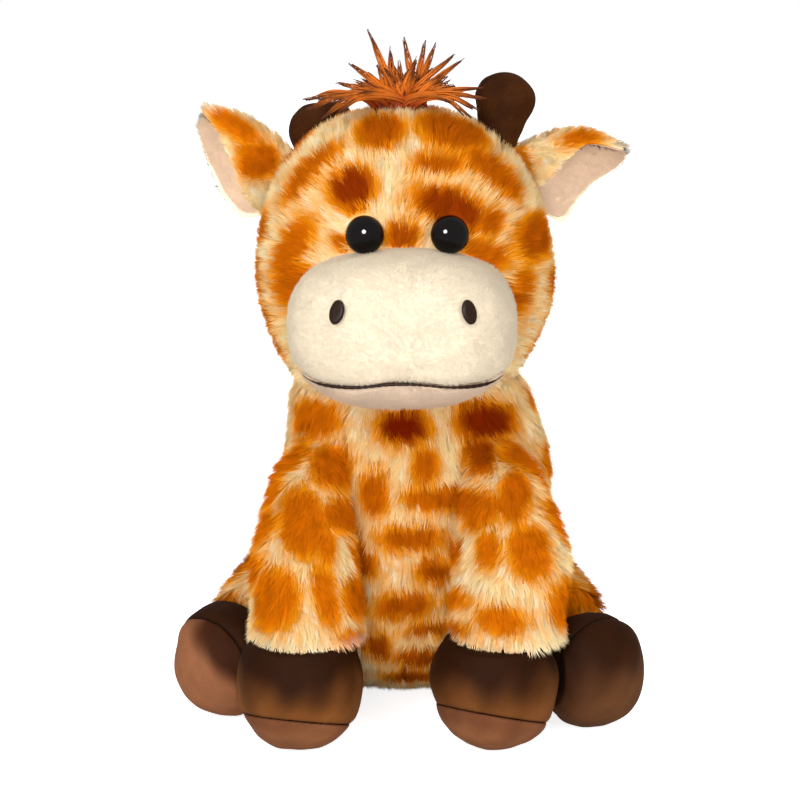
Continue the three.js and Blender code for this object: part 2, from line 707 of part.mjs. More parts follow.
const sockets = [...ears, ...horns].map((piece) => piece.socket);
sockets.push(tuftRoot(seamGap), ...eyeRooms.map((room) => room.shank));
const coverCuts = [belowHead, headForm(-furWall), muzzleForm(-velboaWall), ...sockets];
coverCuts.push(...eyeRooms.map((room) => room.pocket));
addPiece("head_cover", cutBy(headForm(0), ...coverCuts), colours.fur);
const headFilling = headForm(-furWall - seamGap).add(muzzleForm(-velboaWall - lipRecess - seamGap));
const fillingCuts = [belowHead, ...sockets, ...eyeRooms.map((room) => room.washer)];
addPiece("head_stuffing", cutBy(headFilling, ...fillingCuts), colours.fibre);
for (const side of [left, right]) {
  const name = nameOf[side];
  const { shank } = eyeRooms[[left, right].indexOf(side)];
  addPiece(`eye_${name}`, eyeButton(side), colours.black, 0.1);
  addPiece(`eye_washer_${name}`, cutBy(eyeWasher(side, 0), shank), colours.nylon, 0.5);
}
for (const { side, leaf, lining } of ears) {
  addPiece(`ear_${nameOf[side]}`, leaf, colours.fur);
  addPiece(`ear_lining_${nameOf[side]}`, lining, colours.lining);
}
for (const { side, form } of horns) addPiece(`horn_${nameOf[side]}`, form, colours.hoof);

// Legs

function hoofForm(middle, along, across, sizes, grow) {
  const stations = [-sizes.length, 0, sizes.length].map((reach) => ({
    at: middle.clone().addScaledVector(along, reach),
    width: sizes.width,
    depth: sizes.depth,
  }));
  const shape = { domes: [sizes.length, sizes.length], grow, squareness: hoofSquareness };
  return stuffed(stations, { ...shape, rings: 10, around: 18, across });
}

// A leg taken apart into its fur sleeve, hoof, sole and stuffing, from its two forms and their seams.
function addLeg(name, { sleeveForm, hoofForms, cuff, sole, room }) {
  const past = ({ at, facing }, gap) => ahead(at.clone().addScaledVector(facing, gap), facing);
  const before = ({ at, facing }, gap) =>
    ahead(at.clone().addScaledVector(facing, gap), facing.clone().negate());
  const half = seamGap / 2;
  const sleeve = cutBy(sleeveForm(0), sleeveForm(-furWall), past(cuff, -half), belowFloor, room);
  const shell = cutBy(hoofForms(0), hoofForms(-velboaWall), before(cuff, half), belowFloor, room);
  addPiece(`${name}_sleeve`, sleeve, colours.fur);
  addPiece(`${name}_hoof`, cutBy(shell, past(sole, -half)), colours.hoof);
  addPiece(`${name}_sole`, cutBy(shell, before(sole, half)), colours.sole);
  const upper = cutBy(sleeveForm(-furWall - seamGap), past(cuff, half / 2));
  const lower = cutBy(hoofForms(-velboaWall - seamGap), before(cuff, -half / 2));
  const low = ahead(new THREE.Vector3(0, 0, velboaWall), zAxis.clone().negate());
  addPiece(`${name}_stuffing`, cutBy(upper.add(lower), low, room), colours.fibre);
}

const torsoRoom = torsoForm(seamGap);

function frontLeg(side) {
  const name = nameOf[side];
  const seam = new THREE.Vector3(side * frontLegRootOut[name], -shoulderForward, shoulderHeight);
  const root = seam.clone().setY(-shoulderForward - frontLegRootForward);
  const hoof = new THREE.Vector3(side * frontHoofOut[name], -frontHoofForward, 0);
  hoof.z = frontHoofHalfHeight - pressedFlat;
  const low = new THREE.Vector3(side * frontLegOut[name], -frontCuffForward, frontCuffHeight);
  const stations = frontLegShares.map(([drop, width, depth]) => ({
    at: root.clone().lerp(low, drop),
    width: THREE.MathUtils.lerp(frontLegRootHalfWidth, frontLegCuffHalfWidth, width),
    depth: THREE.MathUtils.lerp(frontLegRootHalfDepth, frontLegCuffHalfDepth, depth),
  }));
  const domes = [frontLegTopDome, frontLegTopDome];
  const sleeveForm = (grow) => stuffed(stations, { domes, grow, rings: 11, around: 18, squareness: 2.2 });
  const sizes = { width: frontHoofHalfWidth, depth: frontHoofHalfDepth, length: frontHoofHalfHeight };
  const hoofForms = (grow) => hoofForm(hoof, zAxis.clone().negate(), xAxis, sizes, grow);
  const toe = new THREE.Vector3(hoof.x, hoof.y - frontHoofHalfDepth, frontSoleHeight);
  return {
    sleeveForm,
    hoofForms,
    cuff: { at: new THREE.Vector3(0, 0, frontCuffHeight), facing: zAxis.clone().negate() },
    sole: { at: toe, facing: new THREE.Vector3(0, -Math.sin(frontSoleTilt), -Math.cos(frontSoleTilt)) },
    room: roomAround(torsoRoom, seam, xAxis.clone().negate(), shoulderSteps.map((share) => share * shoulderSwing)),
  };
}

function hindLeg(side) {
  const name = nameOf[side];
  const hip = new THREE.Vector3(side * hipOut, hipBack, hipHeight);
  const hoof = new THREE.Vector3(side * hindHoofOut[name], -hindHoofForward[name], 0);
  hoof.z = hindHoofHalfHeight - pressedFlat;
  const along = hoof.clone().sub(hip).setZ(0).normalize();
  const cuff = hoof.clone().addScaledVector(along, -hindCuffReach);
  const stations = hindLegShares.map(([reach, size]) => ({
    at: hip.clone().lerp(cuff, reach),
    width: THREE.MathUtils.lerp(ankleHalfWidth, thighHalfWidth, size),
    depth: THREE.MathUtils.lerp(ankleHalfHeight, thighHalfHeight, size),
  }));
  const domes = [thighHalfWidth, ankleHalfWidth / 2];
  const across = along.clone().cross(zAxis);
  const sleeveForm = (grow) => stuffed(stations, { domes, grow, rings: 11, around: 18, across });
  const sizes = { width: hindHoofHalfWidth, depth: hindHoofHalfHeight, length: hindHoofHalfLength };
  const hoofForms = (grow) => hoofForm(hoof, along, across, sizes, grow);
  const seam = new THREE.Vector3(side * hipSeamOut, hipSeamBack, 0);
  const front = frontLegs[[left, right].indexOf(side)];
  const torsoSwept = roomAround(torsoRoom, seam, zAxis, [0, side * hipSwing / 2, side * hipSwing]);
  return {
    sleeveForm,
    hoofForms,
    cuff: { at: cuff, facing: along },
    sole: {
      at: hoof.clone().addScaledVector(along, hindHoofHalfLength * hindSoleShare),
      facing: along.clone().multiplyScalar(Math.cos(hindSoleTilt)).setZ(-Math.sin(hindSoleTilt)),
    },
    room: torsoSwept.add(front.sleeveForm(seamGap)).add(front.hoofForms(seamGap)),
  };
}

const frontLegs = [left, right].map(frontLeg);
const hindLegs = [left, right].map(hindLeg);
for (const [i, side] of [left, right].entries()) {
  addLeg(`front_leg_${nameOf[side]}`, frontLegs[i]);
  addLeg(`hind_leg_${nameOf[side]}`, hindLegs[i]);
}

// Tail

const tailEnd = tailRadius + tailLift;
const tailPoints = tailPointShares.map(([sideways, back, height]) => new THREE.Vector3(
  tailSideReach * sideways,
  tailRoot.y + tailBackReach * back,
  THREE.MathUtils.lerp(tailEnd, tailHeight, height),
));
const tailForm = (grow) => {
  const stations = tailPoints.map((at) => ({ at, width: tailRadius, depth: tailRadius }));
  return stuffed(stations, { domes: [tailRadius, tailRadius / 4], grow, rings: 12, around: 8 });
};
const tailRoom = roomAround(torsoRoom, tailRoot, zAxis, [-tailSwing, 0, tailSwing]);
addPiece("tail", cutBy(tailForm(0), tailRoom).add(ball(tailRootRadius, tailRoot)), colours.fur);
const tailWay = tailPoints.at(-1).clone().sub(tailPoints.at(-2)).setZ(0).normalize();
const tuftStations = tailTuftShares.map(([reach, size]) => ({
  at: tailPoints.at(-1).clone().addScaledVector(tailWay, tailTuftLength * reach),
  width: tailRadius * size,
  depth: tailTuftRadius * size,
}));
const tuftShape = { domes: [tailRadius / 4, tailRadius], rings: 7, around: 10, across: zAxis };
addPiece("tail_tuft", cutBy(stuffed(tuftStations, tuftShape), tailForm(seamGap)), colours.hoof);

export default giraffe;
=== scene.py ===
# %% [markdown]
# # A seated plush giraffe
# The toy is cut from printed faux fur and short-pile velboa, stuffed with polyester fibre and
# weighted with beans in the seat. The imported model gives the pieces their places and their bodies.
# Here each piece gets its real surface: pile that can be combed, seams that pull in, and thread.

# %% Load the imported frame
import json
import bpy
import numpy as np
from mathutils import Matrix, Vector


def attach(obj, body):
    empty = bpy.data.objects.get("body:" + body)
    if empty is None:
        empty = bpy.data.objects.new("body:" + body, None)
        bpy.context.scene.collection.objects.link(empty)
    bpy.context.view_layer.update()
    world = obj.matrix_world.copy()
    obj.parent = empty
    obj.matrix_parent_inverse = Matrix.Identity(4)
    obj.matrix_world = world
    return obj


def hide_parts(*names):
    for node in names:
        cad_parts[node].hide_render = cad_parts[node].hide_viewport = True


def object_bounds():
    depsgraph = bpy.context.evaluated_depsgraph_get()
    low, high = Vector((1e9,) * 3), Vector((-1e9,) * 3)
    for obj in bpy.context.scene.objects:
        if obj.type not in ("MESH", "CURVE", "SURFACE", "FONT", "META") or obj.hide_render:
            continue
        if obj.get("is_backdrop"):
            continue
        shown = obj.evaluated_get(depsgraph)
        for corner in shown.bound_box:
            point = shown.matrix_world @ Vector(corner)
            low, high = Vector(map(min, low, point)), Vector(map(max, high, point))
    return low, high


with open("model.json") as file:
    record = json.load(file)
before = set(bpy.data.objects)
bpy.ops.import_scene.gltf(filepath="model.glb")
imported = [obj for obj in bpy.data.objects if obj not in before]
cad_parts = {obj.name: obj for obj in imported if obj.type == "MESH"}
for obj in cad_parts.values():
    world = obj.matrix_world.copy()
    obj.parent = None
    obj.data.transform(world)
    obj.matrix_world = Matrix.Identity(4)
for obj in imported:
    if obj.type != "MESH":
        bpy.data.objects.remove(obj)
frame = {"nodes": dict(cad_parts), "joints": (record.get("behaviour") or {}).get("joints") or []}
cad_low, cad_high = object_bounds()
MM = 0.001
sides = (("left", 1), ("right", -1))  # the toy's own left is +X


def vec(*numbers):
    return np.array(numbers, float)


def add_object(name, data):
    made = bpy.data.objects.new(name, data)
    bpy.context.scene.collection.objects.link(made)
    return made


# %% [markdown]
# ## Camera
# The photograph looks at the toy from straight ahead and 13 degrees above, from about 0.85 m.
# The lens and the distance were fitted to the outline of the model. The toy stands 3 pixels right
# of the picture's middle, which the shift gives, so that no line of the toy is turned.

# %% The camera
view_distance, view_elevation = 850.0, np.radians(13)  # mm, to the point that it looks at
view_target = vec(0.0, 0.0, 118.0)
picture_pixels, focal_pixels, sensor_width = 800, 2179.4, 36
target_pixel_across = 403  # where that point lies in the photograph
towards_camera = vec(0, -np.cos(view_elevation), np.sin(view_elevation))
picture_across = vec(1.0, 0, 0)
picture_up = vec(0, np.sin(view_elevation), np.cos(view_elevation))
camera_place = view_target + view_distance * towards_camera

camera_data = bpy.data.cameras.new("studio_camera")
camera_data.sensor_width = sensor_width
camera_data.lens = sensor_width * focal_pixels / picture_pixels
camera_data.shift_x = (picture_pixels / 2 - target_pixel_across) / picture_pixels
camera = add_object("studio_camera", camera_data)
camera.location = Vector(camera_place) * MM
camera.rotation_euler = (np.pi / 2 - view_elevation, 0, 0)
bpy.context.scene.camera = camera
print("lens", round(camera_data.lens, 2), "mm")

# %% [markdown]
# ## Curves and stuffed forms
# A stuffed form is a spine with a section carried along it. The sections are superellipses, which
# are rounder than a box and fuller than an ellipse, as stuffed cloth is. Each end is a dome. The
# whole surface is one function of two parameters: u turns round the section, v runs along the form.

# %% Vectors, shares and curves
def unit(v):
    """Each vector divided by its own length."""
    return v / np.maximum(np.linalg.norm(v, axis=-1, keepdims=True), 1e-12)


def step(low, high, x):
    """0 below low, 1 above high, and the smooth cubic 3t2 - 2t3 in between."""
    t = np.clip((x - low) / (high - low), 0, 1)
    return t * t * (3 - 2 * t)


def mix(a, b, share):
    """From vector a to vector b, by a share for each point."""
    t = np.asarray(share)[..., None]
    return a * (1 - t) + b * t


def bell(x, middle, width):
    return np.exp(-(((x - middle) / width) ** 2))


def pair(u, v):
    """Both parameters as arrays of one shape."""
    return np.broadcast_arrays(np.asarray(u, float), np.asarray(v, float))


def oval(offset, half, power):
    """(sum of |x/h|^p)^(1/p): how far out a point lies in a superellipsoid, 1 on its surface."""
    return (np.abs(offset / half) ** power).sum(-1) ** (1 / power)


def slope(offset, half, power):
    """A superellipsoid's outward normal: sign(x) |x/h|^(p-1) / h, made a unit."""
    return unit(np.sign(offset) * np.abs(offset / half) ** (power - 1) / half)


def smooth_curve(points, t):
    """Centripetal Catmull-Rom curve. Between two points it is the cubic that passes through both,
    whose slopes come from the neighbours, weighted by the square roots of the distances."""
    points = np.asarray(points, float)
    padded = np.vstack([2 * points[0] - points[1], points, 2 * points[-1] - points[-2]])
    count = len(points) - 1
    i = np.clip((np.asarray(t) * count).astype(int), 0, count - 1)
    w = (np.asarray(t) * count - i)[..., None]
    a, b, c, d = (padded[i + k] for k in range(4))
    before, here, after = (np.linalg.norm(q - p, axis=-1, keepdims=True) ** 0.5
                           for p, q in ((a, b), (b, c), (c, d)))
    here = np.where(here < 1e-4, 1, here)
    before = np.where(before < 1e-4, here, before)
    after = np.where(after < 1e-4, here, after)
    s0 = here * ((b - a) / before - (c - a) / (before + here) + (c - b) / here)
    s1 = here * ((c - b) / here - (d - b) / (here + after) + (d - c) / after)
    return b + w * (s0 + w * ((3 * (c - b) - 2 * s0 - s1) + w * (2 * (b - c) + s0 + s1)))


# %% A stuffed form as a function of two parameters
def stuffed(stations, domes, power=2.0, across=(1, 0, 0), grow=0.0, first_power=None, start=0.0,
            end=None):
    """Point = spine(v) + superellipse of u in the plane across the spine, times the dome's share.
    The share of the section at a distance d into a dome of height h is (1 - (1 - d/h)^p)^(1/p).
    Stations are rows of x, y, z, half width, half depth. A form can be cut flat at its start or
    end, which are distances along it."""
    rows = np.array(stations, float)
    t = np.linspace(0, 1, 401)
    spine = smooth_curve(rows[:, :3], t)
    sizes = smooth_curve(np.c_[rows[:, 3:], np.zeros(len(rows))], t)[:, :2] + grow
    run = np.r_[0, np.cumsum(np.linalg.norm(np.diff(spine, axis=0), axis=1))]
    tangents = unit(np.gradient(spine, axis=0))
    bare, full = run[-1], run[-1] + 2 * grow
    first, last = (max(d + grow, 0.6) for d in domes)
    end = full if end is None else end
    along = start + (end - start) * (1 - np.cos(np.linspace(0, np.pi, 300))) / 2
    deep = np.minimum(1, np.minimum(along / first, (full - along) / last))
    powers = np.where(along < first, first_power or power, power)
    share = np.clip(1 - (1 - deep) ** powers, 0, 1) ** (1 / powers)
    along, share = np.r_[start, along, end], np.r_[0, share, 0]
    reach = np.hypot(np.diff(along), np.diff(share) * sizes.mean())
    length = np.r_[0, np.cumsum(reach)] / reach.sum()

    def surface(u, v):
        u, v = pair(u, v)
        place, size = np.interp(v, length, along), np.interp(v, length, share)
        inside = np.clip(place - grow, 0, bare)
        pick = lambda table: np.stack([np.interp(inside, run, c) for c in table.T], -1)
        z = unit(pick(tangents))
        y = unit(np.cross(z, np.array(across, float)))
        x = np.cross(y, z)
        half = pick(sizes) * size[..., None]
        c, s = (np.sign(k) * np.abs(k) ** (2 / power)
                for k in (np.cos(2 * np.pi * u), np.sin(2 * np.pi * u)))
        at = pick(spine) + z * (place - grow - inside)[..., None]
        return at + x * (half[..., :1] * c[..., None]) + y * (half[..., 1:] * s[..., None])

    return surface


def stuffed_ball(middle, reach, half, power, **more):
    """A stuffed form round a middle. The reach is its half length, as a vector."""
    rows = [[*(middle + reach * s), *half] for s in (-1, 0, 1)]
    return stuffed(rows, (np.linalg.norm(reach),) * 2, power, **more)


# %% [markdown]
# ## Skins, pile and meshes
# A skin is a closed grid of quads with a pole at each end. Faux fur is thousands of fine locks,
# and drawn as geometry they keep their look in any renderer. Each lock is a thin three-sided
# spike, which rises from the backing and lies over in the direction of the nap. Locks in one
# small cell lean towards each other, which gives the tufts of brushed plush.

# %% Closed skins
def closed(rings, poles):
    """Quads between rings of equal size, and triangles from each end ring to its pole."""
    rows, n = rings.shape[:2]
    i = np.arange(n)
    j = (i + 1) % n
    first, last = (np.arange(rows - 1) * n)[:, None], (rows - 1) * n
    quads = np.stack([first + i, first + j, first + n + j, first + n + i], -1).reshape(-1, 4)
    start, end = np.full(n, rows * n), np.full(n, rows * n + 1)
    tris = np.r_[np.c_[start, j, i], np.c_[end, last + i, last + j]]
    return outward(np.r_[rings.reshape(-1, 3), poles], [quads, tris])


def skin(surface, around, along):
    """Rows of points at equal steps of v, each with equal steps of u, and a pole at each end."""
    u, v = np.arange(around) / around, np.arange(1, along) / along
    return closed(surface(u[None, :], v[:, None]), surface(np.zeros(2), vec(0.0, 1.0)))


def slab(outer, inner):
    """A closed sheet between two grids of the same size: both grids, and a rim that joins them."""
    n, m = outer.shape[:2]
    points = np.r_[outer.reshape(-1, 3), inner.reshape(-1, 3)]
    ids = np.arange(n * m).reshape(n, m)
    face = np.stack([ids[:-1, :-1], ids[:-1, 1:], ids[1:, 1:], ids[1:, :-1]], -1).reshape(-1, 4)
    rim = np.r_[ids[0, :-1], ids[:-1, -1], ids[-1, :0:-1], ids[:0:-1, 0]]
    after = np.roll(rim, -1)
    around = np.c_[after, rim, rim + n * m, after + n * m]
    return outward(points, [np.r_[face, face[:, ::-1] + n * m, around]])


def outward(points, faces):
    """The faces turned so that the sum of the volumes under them is positive."""
    volume = sum(np.einsum("ij,ij->", points[f[:, 0]],
                           np.cross(points[f[:, k]], points[f[:, k + 1]]))
                 for f in faces for k in range(1, f.shape[1] - 1))
    return points, (faces if volume > 0 else [f[:, ::-1] for f in faces])


def facing_of(surface, u, v, under=None, e=1e-3):
    """The outward normal: the cross product of the two slopes of the surface at each point. For a
    sheet, outward is away from the surface under it."""
    v = np.clip(v, 2 * e, 1 - 2 * e)
    normal = lambda u, v: np.cross(surface(u + e, v) - surface(u - e, v),
                                   surface(u, v + e) - surface(u, v - e))
    n = unit(normal(u, v))
    if under is not None:
        return n * np.sign(((surface(u, v) - under(u, v)) * n).sum(-1, keepdims=True) + 1e-9)
    middle = surface(vec(0.0, 0.5), vec(0.5, 0.5)).mean(0)
    sample = surface(vec(0.13), vec(0.5))[0]
    return n if (sample - middle) @ normal(0.13, 0.5) > 0 else -n


# %% Scattered roots and locks
floor_gap = 0.3  # mm, between the floor and the lowest pile
lock_sunk = 0.3  # mm, each lock's foot under its backing
flattest = np.radians(87), np.radians(86)  # a lock's lean from the normal: at most, and pressed


def ripple(points, size, seed):
    """Smooth noise from -1 to 1: the mean of seven sine waves with random directions and phases."""
    random = np.random.default_rng(seed)
    ways = unit(random.normal(size=(7, 3))) * random.uniform(0.6, 1.6, (7, 1)) * 2 * np.pi / size
    return np.sin(points @ ways.T + random.uniform(0, 6.3, 7)).mean(-1) * 1.6


def ripples(points, size, seed):
    """Three such noises, as a vector at each point."""
    return np.stack([ripple(points, size, seed + k) for k in range(3)], -1)


def scatter(surface, spacing, random, v_range=(0.0, 1.0), under=None, around=160, along=200):
    """Roots spread evenly: each cell of a fine grid gets its own area's share of them, placed at
    random in the cell. The share is its area over the square of the spacing."""
    u = np.linspace(0, 1, around + 1)
    v = np.linspace(*v_range, along + 1)
    p = surface(u[None, :], v[:, None])
    area = np.linalg.norm(np.cross(p[1:, 1:] - p[:-1, :-1], p[1:, :-1] - p[:-1, 1:]), axis=-1) / 2
    wanted = np.floor(area / spacing**2 + random.random(area.shape)).astype(int)
    row, column = (np.repeat(k.ravel(), wanted.ravel()) for k in np.indices(area.shape))
    uu = u[column] + random.random(len(column)) / around
    vv = v[row] + random.random(len(row)) * (v[1] - v[0])
    return surface(uu, vv), facing_of(surface, uu, vv, under)


def pile(roots, facing, comb, length, random, lift=60.0, radius=0.23, spread=26, clump=0.4,
         cell=4.0, press=0.0, keep_out=None):
    """Locks of hair: three-sided spikes. A lock leans from the normal by the angle of lift. Where
    something presses on it, press is 1 and it lies flat. Its tip moves by the clump's share to its
    cell's mean tip. What shows of a lock is the point at 0.7 of its length."""
    n = facing
    way = unit(comb - (comb * n).sum(-1, keepdims=True) * n)
    side = np.cross(n, way)
    turn = random.normal(size=len(roots)) * 0.5 + ripple(roots, 24, 5) + 0.8 * ripple(roots, 9, 7)
    turn = np.radians(spread) * turn[:, None]
    way = way * np.cos(turn) + side * np.sin(turn)
    press = np.broadcast_to(press, len(roots))[:, None]
    length = (length * random.uniform(0.72, 1.15, len(roots)))[:, None] * (1 - 0.5 * press)
    uneven = random.normal(size=(len(roots), 1)) * 8 - 8 * ripple(roots, 7, 6)[:, None]
    bend = np.minimum(np.radians(lift + uneven), flattest[0])
    bend = bend * (1 - press) + flattest[1] * press
    tip = roots + (np.cos(bend) * n + np.sin(bend) * way) * length
    warped = roots + ripples(roots, 19, 40) * 2.5
    key = np.floor(warped / cell).astype(int) @ np.array([73856093, 19349663, 83492791])
    _, group = np.unique(key, return_inverse=True)
    total = np.maximum(np.bincount(group), 1)
    mean = np.stack([np.bincount(group, tip[:, k]) / total for k in range(3)], -1)[group]
    tip = tip + clump * (mean - tip)
    if keep_out is not None:
        tip = keep_out(tip)
    across = unit(np.cross(tip - roots, n) + 1e-9)
    over = unit(np.cross(across, tip - roots))
    foot = roots - lock_sunk * n
    points = np.stack([foot + across * radius, foot + over * radius, foot - across * radius, tip],
                      axis=1)
    points[..., 2] = np.maximum(points[..., 2], floor_gap)
    lock = np.array([[3, 1, 0], [3, 2, 1], [3, 0, 2], [1, 2, 0]])
    faces = (np.arange(len(roots)) * 4)[:, None, None] + lock
    return points.reshape(-1, 3), [faces.reshape(-1, 3)], roots + 0.7 * (tip - roots)


def grown(surface, spacing, random, comb, length, where=None, normal_of=None, press=None,
          v_range=(0.0, 1.0), under=None, **more):
    """Roots, their normals and their locks. The comb gives the nap's direction at each root, where
    says which roots are kept, and press how flat each lock lies."""
    roots, facing = scatter(surface, spacing, random, v_range, under)
    if normal_of is not None:
        facing = normal_of(roots)
    if where is not None:
        kept = where(roots, facing)
        roots, facing = roots[kept], facing[kept]
    lengths = length(roots, facing) if callable(length) else np.full(len(roots), float(length))
    pressed = press(roots, facing) if press is not None else 0
    return roots, facing, *pile(roots, facing, comb(roots, facing), lengths, random,
                                press=pressed, **more)


def combed(way):
    """A nap that runs one way everywhere."""
    return lambda roots, facing: np.tile(way, (len(roots), 1))


def furred(base, backing, locks, faces, colour, root_shade_and_tip_highlight, lit=None):
    """A piece's two parts: the backing, and the locks with one tone at their roots and one at their
    tips: a darker root is painted shade deep in the pile, and a lighter tip is painted highlight.
    The locks can be lit as another surface, whose normals count as much as they are long."""
    shades = colour[:, None, :] * np.array([root_shade_and_tip_highlight[0]] * 3 + [root_shade_and_tip_highlight[1]])[None, :, None]
    table = {"coat": shades.reshape(-1, 3)}
    if lit is not None:
        table["normal"] = np.repeat(lit, 4, axis=0)
    return [(*base, {"coat": backing}), (locks, faces, table)]


# %% Meshes from arrays
def piece(name, parts, material, body, slot, also=(), fill=None):
    """One mesh from several parts, each of points, lists of faces and a table of attributes."""
    parts = [(*part, {})[:3] for part in parts]
    points = np.concatenate([p for p, _, _ in parts])
    offsets = np.cumsum([0] + [len(p) for p, _, _ in parts])
    faces = [f + o for (_, fs, _), o in zip(parts, offsets) for f in fs]
    sizes = np.concatenate([np.full(len(f), f.shape[1]) for f in faces])
    corners = np.concatenate([f.ravel() for f in faces])
    mesh = bpy.data.meshes.new(name)
    mesh.vertices.add(len(points))
    mesh.vertices.foreach_set("co", (points * MM).astype(np.float32).ravel())
    mesh.loops.add(len(corners))
    mesh.loops.foreach_set("vertex_index", corners.astype(np.int32))
    mesh.polygons.add(len(sizes))
    mesh.polygons.foreach_set("loop_start", (np.cumsum(sizes) - sizes).astype(np.int32))
    mesh.polygons.foreach_set("use_smooth", np.ones(len(sizes), bool))
    mesh.update(calc_edges=True)
    if "coat" in parts[0][2]:
        values = np.clip(np.concatenate([t["coat"] for _, _, t in parts]), 0, 1)
        layer = mesh.attributes.new("coat", "FLOAT_COLOR", "POINT")
        values = np.c_[values, np.ones(len(values))].astype(np.float32)
        layer.data.foreach_set("color", values.ravel())
    if any("normal" in t for _, _, t in parts):
        own = np.empty(len(points) * 3, np.float32)
        mesh.vertex_normals.foreach_get("vector", own)
        given = np.concatenate([t.get("normal", np.zeros_like(p)) for p, _, t in parts])
        mesh.normals_split_custom_set_from_vertices(unit(given + own.reshape(-1, 3)))
    mesh.materials.append(material)
    made = add_object(name, mesh)
    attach(made, body)
    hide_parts(name, *also)
    print(f"{name}: {int((sizes - 2).sum())} triangles")


# %% [markdown]
# ## The shapes that neighbours press on
# Soft pieces don't pass through each other: a leg flattens against the belly, and the pile round
# the muzzle is pushed aside by it. Each big form is therefore also kept as a field that says how
# deep a point lies inside it, and a point inside is moved straight out to its surface.

# %% Torso, head and muzzle as fields
pile_height = 3.6  # the backing lies this far inside the outer surface of the coat
pile_spacing, pile_length = 0.6, 6.6
neck_height = 128.0
torso_half, torso_back, torso_power = (52, 45), 4.0, 2.2
torso_levels = [[0, 0.82, 0.78, 1], [0.25, 1, 0.99, 1], [0.5, 0.98, 0.96, 0.9],
                [0.75, 0.92, 0.86, 0.7], [1, 0.86, 0.76, 0.5]]
torso_stations = [[0, torso_back * b, neck_height * h - 0.5 * (1 - h), torso_half[0] * w,
                   torso_half[1] * d] for h, w, d, b in torso_levels]
torso_stations.append([0, torso_stations[-1][1], 162, *torso_stations[-1][3:]])
head_middle, head_half, head_power = vec(0, 0.8, 169), vec(56.5, 49, 64), 2.35
head_stations = [[*(head_middle + head_half * [0, 0, r]), *head_half[:2] * [w, d]]
                 for r, w, d in [[-1, 0.86, 0.86], [-0.5, 0.93, 0.94], [0, 1, 1], [1, 1, 1]]]
muzzle_middle, muzzle_half = vec(0, -46.0, 156.5), vec(42.5, 34, 29.5)
muzzle_power = 2.5


def torso_form(grow, **more):
    return stuffed(torso_stations, (34, 44), torso_power, grow=grow, first_power=3.2, **more)


def head_form(grow, **more):
    return stuffed(head_stations, (head_half[2],) * 2, head_power, grow=grow, **more)


def column_field(form, height):
    """For an upright form: half width, half depth and middle (x, y) of its section at a height."""
    v = np.linspace(0, 1, 400)
    side, other, front, back = (form(0 * v + turn, v) for turn in (0, 0.5, 0.25, 0.75))
    order = np.argsort(side[:, 2])
    at = lambda values: np.interp(height, side[order, 2], values[order])
    return (at(np.maximum(np.abs(side[:, 0] - other[:, 0]) / 2, 0.5)),
            at(np.maximum(np.abs(front[:, 1] - back[:, 1]) / 2, 0.5)),
            at((side[:, 0] + other[:, 0]) / 2), at((front[:, 1] + back[:, 1]) / 2))


def column_front(form, power, x, z, least=0.0):
    """The y of an upright form's front: its middle less its depth times (1 - |x/w|^p)^(1/p)."""
    w, d, _, y = column_field(form, z)
    return y - d * np.clip(1 - np.abs(x / w) ** power, least, 1) ** (1 / power)


def level_on_torso(points, sink):
    """Straight out at the same level, the torso's surface: scale x and y by 1/q, where
    q = (|x/w|^p + |y/d|^p)^(1/p). The form can be sunk by a length."""
    w, d, x, y = column_field(torso_form(0.5), points[..., 2])
    side, away = points[..., 0] - x, points[..., 1] - y
    q = oval(np.stack([side, away], -1), np.stack([w - sink, d - sink], -1), torso_power)
    scale = 1 / np.maximum(q, 0.25)
    return q, np.stack([x + side * scale, y + away * scale, points[..., 2]], -1)


def shoulder_sink(height):
    """At the shoulder the sleeve lies in the torso's own pile, and its end under the backing, so
    that no edge shows there."""
    return (3.4 * step(shoulder_low, shoulder_high - 6, height)
            + 4 * step(shoulder_high - 20, shoulder_high - 10, height))


def out_of_torso(points):
    """Moves points inside the torso, where q is less than 1, out to its surface."""
    q, surface = level_on_torso(points, shoulder_sink(points[..., 2]))
    inside = (q < 1) & (points[..., 2] > 0) & (points[..., 2] < neck_height + 4)
    return np.where(inside[..., None], surface, points)


def out_of_ball(middle, half, power):
    """The same for a superellipsoid: scale the whole offset from its middle by 1/q."""
    def move(points):
        offset = points - middle
        q = oval(offset, half, power)
        return middle + offset * np.where(q < 1, 1 / np.maximum(q, 0.25), 1)[..., None]
    return move


# %% The legs' forms
front_root, front_cuff = {"left": 36.5, "right": -35.0}, {"left": 41.0, "right": -38.0}
front_hoof = {"left": vec(36, -60, 25.5), "right": vec(-38, -60, 25.5)}
hind_hoof = {"left": vec(72, -30, 21.5), "right": vec(-69.5, -24, 21.5)}
cuff_height, shoulder_low, shoulder_high = 41.0, 84.0, 120.0
hoof_half = vec(24, 25, 26.0)
front_leg_shares = [[0, 0, 0], [0.3, 0.3, 0.3], [0.65, 0.68, 0.65], [1, 1, 1], [1.3, 1, 1]]
hind_leg_shares = [[-0.45, 1], [0, 1], [0.5, 0.55], [1, 0], [1.4, 0]]


def front_leg_line(name):
    """The shoulder, and the middle of the cuff."""
    return np.array([front_root[name], -33, 114.0]), np.array([front_cuff[name], -54, cuff_height])


def front_leg_stations(name):
    root, low = front_leg_line(name)
    return [[*(root + (low - root) * d), 12.5 + 12.5 * w, 14 + 8 * k]
            for d, w, k in front_leg_shares]


def hind_leg_line(name, side):
    """The hip, the middle of the cuff, and the way from the one to the other."""
    hip = vec(40 * side, 8, 31.0)
    along = unit((hind_hoof[name] - hip) * [1, 1, 0])
    return hip, hind_hoof[name] - along * 14, along


def hind_leg_stations(name, side):
    hip, cuff, _ = hind_leg_line(name, side)
    return [[*(hip + (cuff - hip) * r), 21.5 + 4.5 * s, 22 + 9 * s] for r, s in hind_leg_shares]


leg_stations = [front_leg_stations(n) for n, _ in sides] + [hind_leg_stations(*n) for n in sides]


